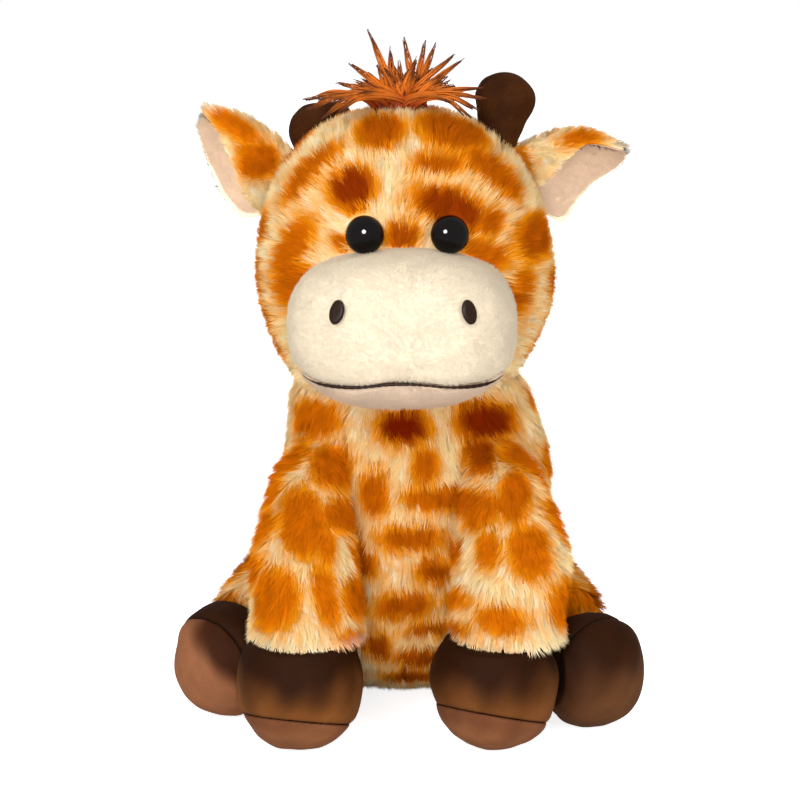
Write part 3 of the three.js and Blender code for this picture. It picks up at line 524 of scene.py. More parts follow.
def under_legs(roots, facing):
    """1 where a leg lies on the torso's coat, and 0 where the coat is free. A leg's depth is the
    distance from its spine as a share of its half size. Over the top of the shoulder the torso's
    own pile hangs free, and hides the seam."""
    outer = roots + facing * pile_height
    deep = []
    for rows in leg_stations:
        line = smooth_curve(rows, np.linspace(0, 1, 50))
        away = np.linalg.norm(outer[:, None] - line[None, :, :3], axis=-1) / line[:, 3:].mean(1)
        deep.append(away.min(1))
    free = step(shoulder_high - 20, shoulder_high - 34, roots[:, 2])
    return step(1.06, 0.92, np.min(deep, axis=0)) * free


# %% [markdown]
# ## Printed spots
# The fur is printed with the common giraffe pattern: brown-orange patches on cream, darker in the
# middle. The patches that the photograph shows are placed one by one, as seen from the camera, in
# millimetres across and up from the point that it looks at. Each is laid on the surface there, so
# it wraps round the form. The sides and the back, which no view shows, are filled at random.

# %% Spots on a surface
def linear(hexa):
    """An sRGB hex colour as linear numbers: c/12.92, or ((c + 0.055) / 1.055)^2.4 above 0.04."""
    c = np.array([int(hexa[i : i + 2], 16) for i in (1, 3, 5)]) / 255
    return np.where(c <= 0.04045, c / 12.92, ((c + 0.055) / 1.055) ** 2.4)


def place_spots(surface, placed, seed, v_range=(0.02, 0.98), gap=5.5, size=(8, 12), front=0.3,
                under=None):
    """Rows of centre, two tangents, normal, two half sizes and tone, for placed and random spots.
    The camera sees a point at its offset from the camera, scaled to the plane of its target."""
    random = np.random.default_rng(seed)
    u, v = (k.ravel() for k in np.meshgrid(np.linspace(0, 1, 120, endpoint=False),
                                           np.linspace(*v_range, 140)))
    points, facing = surface(u, v), facing_of(surface, u, v, under)
    offset = points - camera_place
    scale = view_distance / (offset @ -towards_camera)
    across, up = (offset @ picture_across) * scale, (offset @ picture_up) * scale
    towards = (facing * unit(-offset)).sum(-1)
    rows = []

    def add(i, half_a, half_b, turn, tone):
        n = facing[i]
        level = unit(np.cross(picture_up if abs(n[2]) < 0.9 else [0, 1, 0], n))
        other = np.cross(n, level)
        c, s = np.cos(np.radians(turn)), np.sin(np.radians(turn))
        rows.append((points[i], level * c + other * s, other * c - level * s, n, half_a, half_b,
                     tone))

    for a, b, half_a, half_b, turn, tone in placed:
        away = np.hypot(across - a, up - b) + 40 * (towards < 0.05)
        i = int(np.argmin(away))
        if away[i] > max(half_a, half_b):
            continue
        level = unit(np.cross(picture_up, facing[i]))
        wide = max(0.5, abs(level @ picture_across))
        tall = max(0.5, abs(np.cross(facing[i], level) @ picture_up))
        add(i, half_a / wide / scale[i], half_b / tall / scale[i], turn, tone)
    for i in random.permutation(len(points)):
        half = random.uniform(*size, 2)
        if placed and towards[i] > front:
            continue
        apart = max(half) + gap
        if all(np.linalg.norm(points[i] - r[0]) > apart + (r[4] + r[5]) / 2 for r in rows):
            add(i, *half, random.uniform(0, 180), random.uniform(0.1, 0.55))
    return rows


def spot_field(points, facing, spots, power=2.3):
    """For each point: millimetres to the nearest spot's edge, negative inside, how far it lies
    between the spot's middle and edge, and the spot's tone."""
    best, deep, tone = (np.full(len(points), x) for x in (99.0, 9.0, 0.0))
    for centre, along, up, normal, half_a, half_b, own in spots:
        offset = points - centre
        straight = np.linalg.norm(offset, axis=-1)
        near = straight < 3 * max(half_a, half_b)
        ab = np.stack([offset[near] @ along, offset[near] @ up], -1)
        stretch = straight[near] / np.maximum(np.hypot(*ab.T), 1e-6)
        q = oval(ab, [half_a, half_b], power) * np.minimum(stretch, 1.6)
        away = np.where(facing[near] @ normal > -0.2, (q - 1) * min(half_a, half_b), 99)
        closer = away < best[near]
        where = np.flatnonzero(near)[closer]
        best[where], deep[where], tone[where] = away[closer], q[closer], own
    return best, deep, tone


cream, peach, milk = linear("#FFDFA2"), linear("#FFBC6C"), linear("#FFF2D4")
amber, rust, umber = linear("#EE920E"), linear("#E07302"), linear("#760D00")


def coat_colour(points, facing, spots, random, jitter=0.45):
    """Cream to peach, with the spots printed over it: amber at their edges, rust in the middle.
    The cream and peach of 30 mm are the print's own tone. The peach of 7 mm is painted shade of
    the tufts, the milk patches of 6 mm are painted highlight, and the spots' mottling is partly
    painted shade.
    """
    away, deep, tone = spot_field(points, facing, spots)
    away = away - 0.2 + 0.6 * ripple(points, 13, 11) + 0.35 * ripple(points, 5, 12)
    away = away + random.normal(size=len(points)) * jitter
    # Painted shade and highlight: peach patches of 7 mm shade the tufts, and milk patches of 6 mm
    # light them
    tone_and_tuft_shade = 0.5 * ripple(points, 30, 21) + 0.5 * ripple(points, 7, 22)
    ground = mix(cream, peach, step(-0.5, 0.8, tone_and_tuft_shade))
    ground = mix(ground, milk, 0.6 * step(0.1, 0.8, ripple(points, 6, 23)))
    ground = mix(ground, amber, 0.45 * step(4.5, 0, away))
    ink = mix(amber, rust, step(1.05, 0.7, deep + 0.1 * ripple(points, 9, 31)))
    ink = mix(ink, umber, tone * step(1.0, 0.5, deep))
    # The spots' mottling, by 10%, is partly painted shade of the tufts
    ink = ink * (1 + 0.1 * ripple(points, 6, 32))[:, None]
    return mix(ground, ink, step(0.9, -0.9, away - 0.5))


def coat(surface, spots, seed, length, comb, base, fringe=None, rim=None, lean=0.0, **more):
    """The parts of a furred piece: the backing, and its pile with a colour for each lock. The
    locks are lit as the soft surface that they form together, which waves by tufts of 9 mm. Near
    a sheet's rim, a line with a way out of the sheet, they are pale and lit as it turns over. The
    backing is painted 0.95 as bright, as shade under the pile, and a fringe is painted paler, as
    highlight."""
    random = np.random.default_rng(seed)
    points = base[0]
    # Painted shade: the backing under the pile is 0.95 as bright as the print
    backing = coat_colour(points, unit(points - points.mean(0)), spots, random, 0.0) * 0.95
    roots, facing, locks, faces, shown = grown(surface, pile_spacing, random, comb, length, **more)
    colour = coat_colour(shown, facing, spots, random)
    if rim is not None:
        line, way = rim
        by_rim = lambda at: step(9, 2, np.linalg.norm(at[:, None] - line, axis=-1).min(1))
        near = by_rim(shown) * step(0.5, 0.1, facing @ way)
        colour, facing = mix(colour, milk, near), unit(facing + way * near[:, None])
        backing = mix(backing, milk, by_rim(points))
    # Painted highlight: the locks of a fringe are paled towards milk
    if fringe is not None:
        colour = mix(colour, milk, fringe(shown))
    colour = colour * random.uniform(0.92, 1.06, len(roots))[:, None]
    waves = ripples(shown, 9, 24) + 0.6 * ripples(shown, 4, 28)
    lit = unit(facing + 0.34 * waves + lean) * 7
    # Painted shade and highlight: each lock's root is 0.92 as bright, as shade deep in the pile, and
    # its tip 1.04 times, as highlight
    return furred(base, backing, locks, faces, colour, (0.92, 1.04), lit)


# %% [markdown]
# ## Finishes
# All the cloths are polyester pile, whose locks or backing carry the colour. They scatter light
# softly and have hardly any gloss. A fine noise breaks each colour up, as the ends of the fibres
# do. The hard parts are moulded plastic and embroidery thread.

# %% Materials
def add_node(tree, kind, inputs=(), **settings):
    """Adds a node, sets its properties, and fills or links its inputs."""
    made = tree.nodes.new(kind)
    for key, value in settings.items():
        setattr(made, key, value)
    for key, value in dict(inputs).items():
        if isinstance(value, bpy.types.NodeSocket):
            tree.links.new(value, made.inputs[key])
        else:
            made.inputs[key].default_value = value
    return made


def finish(name, **numbers):
    """A material with its Principled shader, whose constant sockets are set from numbers."""
    material = bpy.data.materials.new(name)
    material.use_nodes = True
    tree = material.node_tree
    shader = tree.nodes["Principled BSDF"]
    for key, value in numbers.items():
        shader.inputs[key.replace("_", " ")].default_value = value
    return material, tree, shader


def noise(tree, scale, **inputs):
    """Noise in the object's own space, with so many grains in a metre."""
    place = add_node(tree, "ShaderNodeTexCoord").outputs["Object"]
    made = add_node(tree, "ShaderNodeTexNoise", {"Vector": place, "Scale": scale, **inputs})
    return made.outputs["Fac"]


def two_tone(tree, value, hexes, ends=(0.0, 1.0)):
    """A ramp between two colours."""
    ramp = add_node(tree, "ShaderNodeValToRGB", {"Fac": value})
    for stop, position, hexa in zip(ramp.color_ramp.elements, ends, hexes):
        stop.position, stop.color = position, (*linear(hexa), 1.0)
    return ramp.outputs["Color"]


def speckle(tree, shader, colour, grain, low, high):
    """Gives the shader a colour that a fine noise makes darker and lighter."""
    spread = add_node(tree, "ShaderNodeMapRange", {"Value": grain, "From Min": 0.3, "From Max": 0.7,
                                                   "To Min": low, "To Max": high})
    mixed = add_node(tree, "ShaderNodeVectorMath", {0: colour, 1: spread.outputs[0]},
                     operation="MULTIPLY")
    tree.links.new(mixed.outputs[0], shader.inputs["Base Color"])


def pile_cloth(name, roughness, gloss):
    """Cloth whose locks carry their own colour, broken up by the ends of the fibres."""
    material, tree, shader = finish(name, Roughness=roughness, Specular_IOR_Level=gloss)
    colour = add_node(tree, "ShaderNodeAttribute", attribute_name="coat").outputs["Color"]
    speckle(tree, shader, colour, noise(tree, 900.0, Detail=2.0), 0.95, 1.05)
    return material


def moulded(name, roughness, scale, hexes, gloss=0.5):
    """A smooth material that a noise clouds a little."""
    material, tree, shader = finish(name, Roughness=roughness, Specular_IOR_Level=gloss)
    tree.links.new(two_tone(tree, noise(tree, scale), hexes), shader.inputs["Base Color"])
    return material


# Printed acrylic faux fur: long fibres without gloss; its colour is the print with painted shade and
# highlight.
fur = pile_cloth("printed_faux_fur", 0.85, 0.02)
# Velboa of the face: a short, dense nap, a little glossier than the long pile.
muzzle_cloth = pile_cloth("cream_velboa", 0.8, 0.15)
chin_cloth = pile_cloth("chin_velboa", 0.8, 0.15)
# Velboa of the hooves and soles: dyed, and so dense that only its brushed patches show. Its colour
# also holds painted sheen and shade.
hoof_cloth = pile_cloth("dark_brown_velboa", 0.75, 0.06)
sole_cloth = pile_cloth("sole_brown_velboa", 0.75, 0.06)
# The ears' lining: a pale plush with the same short nap.
lining_cloth = pile_cloth("pink_lining_plush", 0.85, 0.1)

# Velboa of the horns: patches of 14 mm that were brushed either way, over fibre ends of 1 mm.
horn_cloth, tree, shader = finish("horn_velboa", Roughness=0.85, Sheen_Roughness=0.45,
                                  Specular_IOR_Level=0.06)
brushed_patches = noise(tree, 1000 / 14, Detail=3.0, Roughness=0.55)
fibre_ends = noise(tree, 1000.0, Detail=2.0)
speckle(tree, shader, two_tone(tree, brushed_patches, ("#2E1302", "#412107"), (0.36, 0.64)),
        fibre_ends, 0.9, 1.08)
relief = add_node(tree, "ShaderNodeBump", {"Height": fibre_ends, "Strength": 0.35,
                                           "Distance": 0.0004})
tree.links.new(relief.outputs["Normal"], shader.inputs["Normal"])

# Rayon embroidery thread: smooth filament, so it has a narrow shine along its turns.
thread = moulded("embroidery_thread", 0.5, 1500.0, ("#1A0E06", "#2C180C"), 0.15)
# Moulded acrylic: a deep black with a clear surface, which mirrors the lamps as small points.
acrylic = moulded("moulded_black_acrylic", 0.05, 260.0, ("#050404", "#0C0908"), 0.2)
# Moulded nylon: the locking washers, inside the head.
nylon = moulded("moulded_nylon", 0.5, 300.0, ("#82827E", "#92928D"))

# Acrylic yarn, split into its fibres: the colour runs from deep rust at the root, through bright
# rust, to dark brown at the frayed tip.
yarn, tree, shader = finish("acrylic_yarn", Roughness=0.6, Specular_IOR_Level=0.15)
colour = add_node(tree, "ShaderNodeAttribute", attribute_name="coat")
tree.links.new(colour.outputs["Color"], shader.inputs["Base Color"])
print("materials", len(bpy.data.materials))

# %% [markdown]
# ## Torso
# The cover of the flanks and back is one skin, and the belly panel is a second one between two
# seams. The nap of both runs down. The torso's lower end is flat, because the beans in the seat
# spread there. Nothing stands over the floor: each lock that would reach below it is laid on it.

# %% Back cover
belly_half_width = 21.0
neck_cut = neck_height + 0.5 - pile_height
bare_torso = torso_form(-pile_height, end=neck_cut)


def lap(y, z):
    """The front's lower 34 mm curves back under the lap: y shrinks by up to 0.72 (1 - z/34)^2."""
    return y * np.where(y < 0, 1 - 0.72 * np.clip(1 - z / 34, 0, 1) ** 2, 1)


def torso_surface(u, v):
    """The stuffed form, 0.8 mm above the floor, set back by 2.4 mm behind the belly panel. The
    toy's left flank is the fuller one, by 11 mm."""
    x, y, z = np.moveaxis(bare_torso(u, v), -1, 0)
    behind = step(belly_half_width + 1.5, belly_half_width - 0.5, np.abs(x)) * step(-12, -16, y)
    y = y + 2.4 * behind
    x = x + 11.0 * (bell(z, 92, 36) * step(12, 38, x) * step(-26, -6, y))
    return np.stack([x, lap(y, z), np.maximum(z, 0.8)], -1)


# The darkness of the two spots just under the chin, 0.95 and 0.9, is painted shadow of the chin, and
# the dark patch at -9, -96, low between the front legs, is painted shadow.
body_spots = [  # across, up, half width, half height, turn in degrees, darkness
    (-34, -8, 10, 8, 0, 0.2), (-27, -27, 9, 10, -20, 0.3), (0, -11, 12, 8.5, 0, 0.95),
    (31, -9, 12.5, 9, 0, 0.9), (30, -22, 7, 9, 0, 0.6), (9, -26.5, 6.5, 8.5, 0, 0.3),
    (-11, -37.5, 6.5, 10, 0, 0.35), (14, -39.5, 14.5, 5.8, 0, 0.3), (4, -54, 14, 6, 0, 0.4),
    (-13, -64.5, 6, 6.5, 0, 0.5), (12, -67, 8, 6.5, 0, 0.5), (0, -80.5, 12.5, 6.2, 8, 0.5),
    (9, -90, 10, 3.8, 0, 0.5), (-9, -96, 6, 6.5, 0, 0.7), (7, -100.5, 11.5, 4.6, 0, 0.6),
    (2, -110, 12, 4.4, 0, 0.6), (46, 0, 3.5, 8, 0, 0.2), (53, -24, 5.5, 13, 25, 0.15),
    (-46, -26, 4.5, 8, 0, 0.1), (-51, -38, 3.5, 6.5, 0, 0.1), (61, -48, 4.5, 10, 0, 0.1),
    (43.5, -39, 7, 11, -15, 0.25), (30, -45, 8, 7.5, 30, 0.15), (50, -60.5, 9.5, 11, 0, 0.15),
    (33, -60, 5, 7, 0, 0.1), (21, -78, 7.5, 4.2, 0, 0.05), (63, -79.5, 6, 10.5, 0, 0.1),
    (38, -86.5, 10, 5.5, -10, 0.1), (20, -89, 7.5, 3.2, 0, 0.1), (19, -60, 3, 5.5, 0, 0.2),
    (-39, -49, 10.5, 14, 15, 0.2), (-50, -79, 9.5, 12.5, 0, 0.1), (-54, -51, 3.6, 8, 0, 0.1),
    (-24, -46, 6.5, 7, 0, 0.3), (-30, -77, 5, 12.5, 10, 0.1), (-19, -77, 6, 9, 10, 0.2),
    (-17, -96, 5.5, 3.4, 0, 0.3), (-31, -58, 4.5, 7.5, 0, 0.1), (-15.5, -62, 3, 8.5, 0, 0.4),
    (75, -76, 7.5, 8, 0, 0.1), (-64, -66, 5.5, 7.5, 0, 0.1), (-67, -79, 6.5, 3.4, 0, 0.1),
]
torso_spots = place_spots(bare_torso, body_spots, seed=3, v_range=(0.12, 0.82), front=0.45)
down = combed([0.0, 0.0, -1.0])


def off_belly(roots, facing):
    return (np.abs(roots[:, 0]) > belly_half_width + 0.3) | (roots[:, 1] > -14)


parts = coat(torso_surface, torso_spots, 31, pile_length, down, skin(torso_surface, 120, 100),
             where=off_belly, v_range=(0, 0.9), press=under_legs)
piece("back_cover", parts, fur, "torso", "printed_fur", ("torso_stuffing", "bean_bag"), 0.85)

# %% Belly panel
torso_section = torso_form(-pile_height)
sheet_thickness = 1.6


def belly_surface(u, v, sunk=0.0):
    """A sheet across the front: x = 21(2u - 1), and y the torso's front there, a little crowned
    between its seams, by 0.9 (1 - (2u - 1)^4)."""
    u, v = pair(u, v)
    x = belly_half_width * (2 * u - 1)
    z = 4.2 + (neck_height - 4.8) * v
    front = column_front(torso_section, torso_power, x, z, 0.02)
    front = front - 0.9 * (1 - (2 * u - 1) ** 4)
    return np.stack([x, lap(front, z) + sunk, z], -1)


def belly_back(u, v):
    return belly_surface(u, v, sheet_thickness)


uu, vv = np.meshgrid(np.linspace(0, 1, 41), np.linspace(0, 1, 91))
parts = coat(belly_surface, torso_spots, 32, pile_length, down,
             slab(belly_surface(uu, vv), belly_back(uu, vv)), under=belly_back, press=under_legs)
piece("belly_panel", parts, fur, "torso", "printed_fur", fill=0.8)

# %% [markdown]
# ## Head
# The head is one big stuffed form. Its nap runs up over the brow and back round the cheeks, away
# from the muzzle. The muzzle stands in it, and the pile beside it is pushed out by its edge.

# %% Head cover
head_neck_cut = (neck_height + 0.4) - (head_middle[2] - head_half[2]) - pile_height
bare_head = head_form(-pile_height, start=head_neck_cut)
eye_places = {"left": vec(17.4, -48.0, 190.0), "right": vec(-14.2, -48.3, 190.0)}


def head_surface(u, v):
    """The stuffed form, pulled in by up to 2 mm where the eyes are held by their washers. The toy's
    left cheek stands out by 3 mm and its right one by 1 mm."""
    p = bare_head(u, v).copy()
    for at in eye_places.values():
        p[..., 1] += 2.0 * np.exp(-(((p - (at + [0, 5, 0])) ** 2).sum(-1)) / (2 * 8.0**2))
    cheek = bell(p[..., 2], 160, 28)
    p[..., 0] += cheek * (3.0 * step(20, 48, p[..., 0]) - step(20, 48, -p[..., 0]))
    return p


face_spots = [  # as for the body, and 1.07 times as big
    (-9, 104.5, 10, 7.5, 0, 0.5), (19, 104, 13.5, 8, -28, 0.4), (12.5, 91.5, 10.5, 4.4, 0, 0.45),
    (35, 88, 12, 7, -38, 0.4), (-19, 83.5, 10, 9, 25, 0.85), (-36, 89, 12, 5.2, 50, 0.35),
    (20, 75.5, 16, 7.8, -18, 0.8), (-2, 65, 7, 5.5, 0, 0.6), (-43, 60, 10.5, 7, 45, 0.3),
    (-53, 67, 4.5, 7, 0, 0.3), (-57, 49, 3.5, 9, 0, 0.3), (-43, 46, 6, 10.5, -35, 0.3),
    (-52, 34, 3.5, 6, 0, 0.3), (34, 57, 8.5, 5.5, -20, 0.35), (50, 63.5, 8, 9.5, 15, 0.5),
    (53.5, 46, 5, 7.5, 0, 0.5), (45, 43, 4, 10, 0, 0.3), (50, 26, 3.5, 8.5, 0, 0.3),
    (-49, 21, 3, 6, 0, 0.3), (-25.5, 62, 3, 3, 0, 0.3), (33, 70, 5, 6, 0, 0.5),
]
face_spots = [(a, b, 1.07 * p, 1.07 * q, turn, tone) for a, b, p, q, turn, tone in face_spots]
head_spots = place_spots(bare_head, face_spots, seed=8, v_range=(0.1, 0.97), front=0.2)
clear_of_face = [out_of_ball(at + [0, 1.0, 0], vec(7.4, 7.0, 7.4), 2.0)
                 for at in eye_places.values()]
clear_of_face.append(out_of_ball(muzzle_middle, muzzle_half + 0.3, muzzle_power))


def head_comb(roots, facing):
    """The nap's direction: away from the middle of the muzzle, up the brow and round the cheeks."""
    return roots - [0, -62.0, 166.0]


def off_face(roots, facing):
    """No pile grows inside the muzzle's seam, under an eye, or on the flat neck."""
    keep = oval(roots - muzzle_middle, muzzle_half - 1.5, muzzle_power) > 1
    keep &= roots[:, 2] > neck_height + 1
    for at in eye_places.values():
        keep &= np.hypot(roots[:, 0] - at[0], roots[:, 2] - at[2]) + 50 * (roots[:, 1] > 0) > 6.6
    return keep


def off_muzzle_and_eyes(points):
    for clear in clear_of_face:
        points = clear(points)
    return points


parts = coat(head_surface, head_spots, 41, pile_length, head_comb, skin(head_surface, 140, 120),
             where=off_face, keep_out=off_muzzle_and_eyes, v_range=(0.05, 1.0), spread=30)
piece("head_cover", parts, fur, "head", "printed_fur", ("head_stuffing",), 0.9)

# %% [markdown]
# ## Muzzle, mouth and nostrils
# The muzzle is cream velboa in two panels that meet in the mouth seam. The upper one rolls under
# at the seam, and the chin lies a little behind it. The mouth is a line of thread along the seam,
# and each nostril is an oval of satin stitch, whose threads lie side by side as fine ridges.

# %% Muzzle panels
mouth_half_width = 36.0
panels = {  # side of the seam, growth, height it is drawn to, cloth, colour, seed, limits, fill
    "upper": (1, -1.2, 12, muzzle_cloth, "#E6D5BA", 55, (0.9, 99), 0.85),
    "chin": (-1, -0.8, -24, chin_cloth, "#D9BFA6", 56, (-99, -0.9), 0.8)}


def mouth_height(x):
    """The seam: 16.5 mm under the muzzle's middle. From a small bow in the middle it sags a
    little towards the sides, -1.8 s^2, and turns up at the corners, 3.2 s^8, where s is the share
    of its half width."""
    share = np.minimum(1, np.abs(x) / mouth_half_width)
    return muzzle_middle[2] - 16.5 - 1.8 * share**2 + 3.2 * share**8 + 1.4 * step(0.5, 0.05, share)


def head_front(x, z, grow):
    return column_front(head_form(grow), head_power, x, z)


def panel(side, grow, anchor_height):
    """The muzzle's ball, kept on one side of the mouth seam, where it rolls in over 4 mm, and kept
    in front of the head's backing. The eyes' rims dent its top by 1.5 mm."""
    ball = stuffed_ball(muzzle_middle, muzzle_half * [0, -1, 0], muzzle_half[[0, 2]], muzzle_power,
                        grow=grow)
    roll, half_seam = 4.0, 0.25
    centre, anchor = muzzle_middle * [0, 1, 0] + [0, 8, 0], muzzle_middle + [0, 8, anchor_height]

    def surface(u, v):
        p = ball(u, v).copy()
        seam = mouth_height(p[..., 0])
        gap = np.maximum(side * (p[..., 2] - seam) - half_seam, 0)
        near = np.clip(1 - gap / roll, 0, 1)
        inward = roll * (1 - np.sqrt(1 - near**2)) * (0.2 + 0.35 * step(-40, -66, p[..., 1]))
        p -= unit((p - centre) * [1, 1, 0]) * inward[..., None]
        over = np.maximum(side * (seam + side * half_seam - p[..., 2]), 0)
        p += (anchor - p) * (over / (over + 8))[..., None]
        edge = mouth_height(p[..., 0]) + side * half_seam
        p[..., 2] = side * np.maximum(side * p[..., 2], side * edge)
        if side < 0:
            p[..., 2] = np.maximum(p[..., 2], neck_height + 1.2)
        p[..., 1] = np.minimum(p[..., 1], head_front(p[..., 0], p[..., 2], -pile_height - 0.5))
        soft = ripple(p, 34, 51) * 0.5 + ripple(p, 15, 52) * 0.2
        for at in eye_places.values():
            away = (p[..., 0] - at[0]) ** 2 + (p[..., 1] + 52) ** 2
            soft = soft - 1.5 * np.exp(-away / 90) * (p[..., 2] > 170)
        p += unit(p - muzzle_middle) * soft[..., None]
        return p

    return surface


def nap(surface, seed, hexa, comb, base, spacing=0.5, length=2.0, radius=0.17, **more):
    """Short pile on a cloth of one colour: locks of about 2 mm that lie nearly flat."""
    random = np.random.default_rng(seed)
    shade = lambda at: linear(hexa) * (1 + 0.04 * ripple(at, 12, seed))[:, None]
    roots, facing, locks, faces, shown = grown(surface, spacing, random, comb, length, lift=66,
                                               radius=radius, spread=50, clump=0.1, cell=2.5,
                                               **more)
    tint = shade(roots) * random.uniform(0.98, 1.02, (len(roots), 1))
    lit = unit(facing + 0.05 * ripples(shown, 8, seed)) * 20
    # Painted shade: the backing under the nap is 0.95 as bright as the cloth
    return furred(base, shade(base[0]) * 0.95, locks, faces, tint, (1, 1), lit)


def muzzle_comb(roots, facing):
    """The nap's direction: back from the front of the muzzle on all sides."""
    return roots - (muzzle_middle + [0, -44, -6])


def muzzle_normal(points):
    return slope(points - muzzle_middle, muzzle_half, muzzle_power)


for name, (side, grow, anchor_height, cloth, hexa, seed, (low, high), fill) in panels.items():
    surface = panel(side, grow, anchor_height)

    def in_view(roots, facing):
        """Pile only where the panel isn't hidden: in front of the head, and off the mouth seam."""
        off = roots[:, 2] - mouth_height(roots[:, 0])
        free = roots[:, 1] < head_front(roots[:, 0], roots[:, 2], -1) + 1
        return free & (off > low) & (off < high) & (roots[:, 2] > neck_height + 1.4)

    parts = nap(surface, seed, hexa, muzzle_comb, skin(surface, 160, 110), 0.58, radius=0.2,
                where=in_view, normal_of=muzzle_normal)
    piece(f"muzzle_{name}", parts, cloth, "head", "muzzle", fill=fill)


# %% Threads of the mouth and nostrils
def muzzle_front(x, z):
    """The y of the muzzle's front at a place across and up, from its superellipsoid."""
    rest = (1 - np.abs(x / muzzle_half[0]) ** muzzle_power
            - np.abs((z - muzzle_middle[2]) / muzzle_half[2]) ** muzzle_power)
    return muzzle_middle[1] - muzzle_half[1] * np.clip(rest, 0, 1) ** (1 / muzzle_power)


def tube(path, radius, around=10):
    """A round section carried along a path, with a pole at each end: path + r(cos, sin) across."""
    path = np.asarray(path, float)
    way = unit(np.gradient(path, axis=0))
    side = unit(np.cross(way, vec(0.13, 0.21, 1.0)))
    over = np.cross(side, way)
    radius = np.broadcast_to(radius, len(path))[:, None, None]
    turn = 2 * np.pi * np.arange(around) / around
    rings = path[:, None] + radius * (side[:, None] * np.cos(turn)[None, :, None]
                                      + over[:, None] * np.sin(turn)[None, :, None])
    return closed(rings, path[[0, -1]])


x = np.linspace(-mouth_half_width, mouth_half_width, 420)
z = mouth_height(x)
stitch = np.abs(np.sin(np.pi * x / 2.4))
swell = 0.42 + 0.16 * ripple(np.stack([x, 0 * x, 0 * x], -1), 22, 61)
ends = np.clip((mouth_half_width - np.abs(x)) / 6, 0.25, 1)
mouth = tube(np.stack([x, muzzle_front(x, z) + 0.4, z], -1), (swell + 0.18 * stitch) * ends)
piece("mouth_thread", [mouth], thread, "head", "thread")


def nostril(side, thread_gap=0.55, around=64, along=40):
    """A low dome over an oval of 2.5 x 4.3 mm: height = 1 - r^4, ridged by threads across it."""
    lean = np.radians(17) * side
    turn, r = np.meshgrid(np.linspace(0, 2 * np.pi, around, endpoint=False),
                          np.linspace(0, 1, along))
    a, b = 2.5 * r * np.cos(turn), 4.3 * r * np.sin(turn)
    x = side * 23.3 + a * np.cos(lean) - b * np.sin(lean)
    z = muzzle_middle[2] + 10.5 + a * np.sin(lean) + b * np.cos(lean)
    ridge = 0.1 * np.sin(2 * np.pi * (b + 0.25 * a) / thread_gap)
    top = np.stack([x, muzzle_front(x, z) - (0.75 + ridge) * (1 - r**4) - 0.3, z], -1)
    base = np.stack([x, muzzle_front(x, z) + 0.6, z], -1)
    return closed(np.r_[top[1:], base[-1:]], [top[0, 0], base[0, 0]])


for name, side in sides:
    piece(f"nostril_{name}", [nostril(side)], thread, "head", "thread")

# %% [markdown]
# ## Eyes
# A safety eye is a domed button on a shank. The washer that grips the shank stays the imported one.
# The dome is turned from its profile, so its highlight is as round and sharp as the real one.

# %% Eyes
def eye(at, facing):
    """A profile turned about the eye's axis: the dome r = 7.1 cos t, h = 5.2 sin t, then a rounded
    rim, a flat back and the shank."""
    t = np.linspace(np.pi / 2, 0, 26)
    dome = np.c_[7.1 * np.cos(t), 5.2 * np.sin(t)]
    t = np.linspace(0, np.pi / 2, 7)
    rim = np.c_[6.7 + 0.4 * np.cos(t), -0.4 * np.sin(t)]
    shank = np.array([[2.3, -0.4], [2.2, -0.8], [2.2, -12.6], [1.8, -13.0], [0, -13.0]])
    profile = np.r_[dome, rim, shank]
    z = unit(np.array(facing, float))
    x = unit(np.cross([0, 0, 1.0], z))
    y = np.cross(z, x)
    run = np.r_[0, np.cumsum(np.linalg.norm(np.diff(profile, axis=0), axis=1))]
    run /= run[-1]

    def surface(u, v):
        u, v = pair(u, v)
        r, h = (np.interp(v, run, c)[..., None] for c in profile.T)
        turn = 2 * np.pi * u[..., None]
        return at + x * r * np.cos(turn) + y * r * np.sin(turn) + z * h

    return surface


eye_sunk = 2.2  # mm, the dome's rim under the head's outer surface
for name, at in eye_places.items():
    facing = slope(at - head_middle, head_half, head_power)
    base = np.array([at[0], head_front(at[0], at[2], 0.0), at[2]])
    made = skin(eye(base - facing * eye_sunk, facing), 72, 150)
    piece(f"eye_{name}", [made], acrylic, "head", "eye")
    frame["nodes"][f"eye_washer_{name}"].data.materials.clear()
    frame["nodes"][f"eye_washer_{name}"].data.materials.append(nylon)

# %% [markdown]
# ## Ears
# Each ear is a fur leaf with a pink plush lining, folded over along a ridge. Across the ear, a
# point first runs round the fold and then straight down into its flap.

# %% Ears
ear_levels = smooth_curve(  # share of the length; rear and front flap, fold, angle and fullness
    [[-0.1, 0.76, 0.9, 0.15, 1, 0.4], [0, 0.88, 0.95, 0.3, 1, 0.6],
     [0.16, 1.03, 0.92, 0.65, 1, 0.8], [0.36, 1, 0.74, 1, 0.96, 1],
     [0.58, 0.81, 0.46, 1, 0.88, 1], [0.8, 0.52, 0.22, 0.8, 0.75, 0.8],
     [0.93, 0.26, 0.1, 0.5, 0.6, 0.5], [1, 0.02, 0.01, 0.3, 0.5, 0.3]], np.linspace(0, 1, 200))
ear_length, ear_front_flap = {"left": 39.5, "right": 37}, {"left": 17, "right": 29}
ear_raise, ear_rear_flap, ear_fold = {"left": 8, "right": 25}, 35.0, 6.0
ear_tip, ear_droop = {"left": 0.95, "right": 0.9}, {"left": 6.0, "right": 0.0}  # share; mm
ear_spots_seen = {
    "right": [(-57, 94, 8, 7.5, 0, 0.25), (-66, 107, 11, 4.5, -35, 0.15)],
    "left": [(70, 102.5, 8, 3.6, 8, 0.2), (45, 92, 4.5, 7, 0, 0.1), (63, 71, 8, 3.5, 0, 0.15)],
}


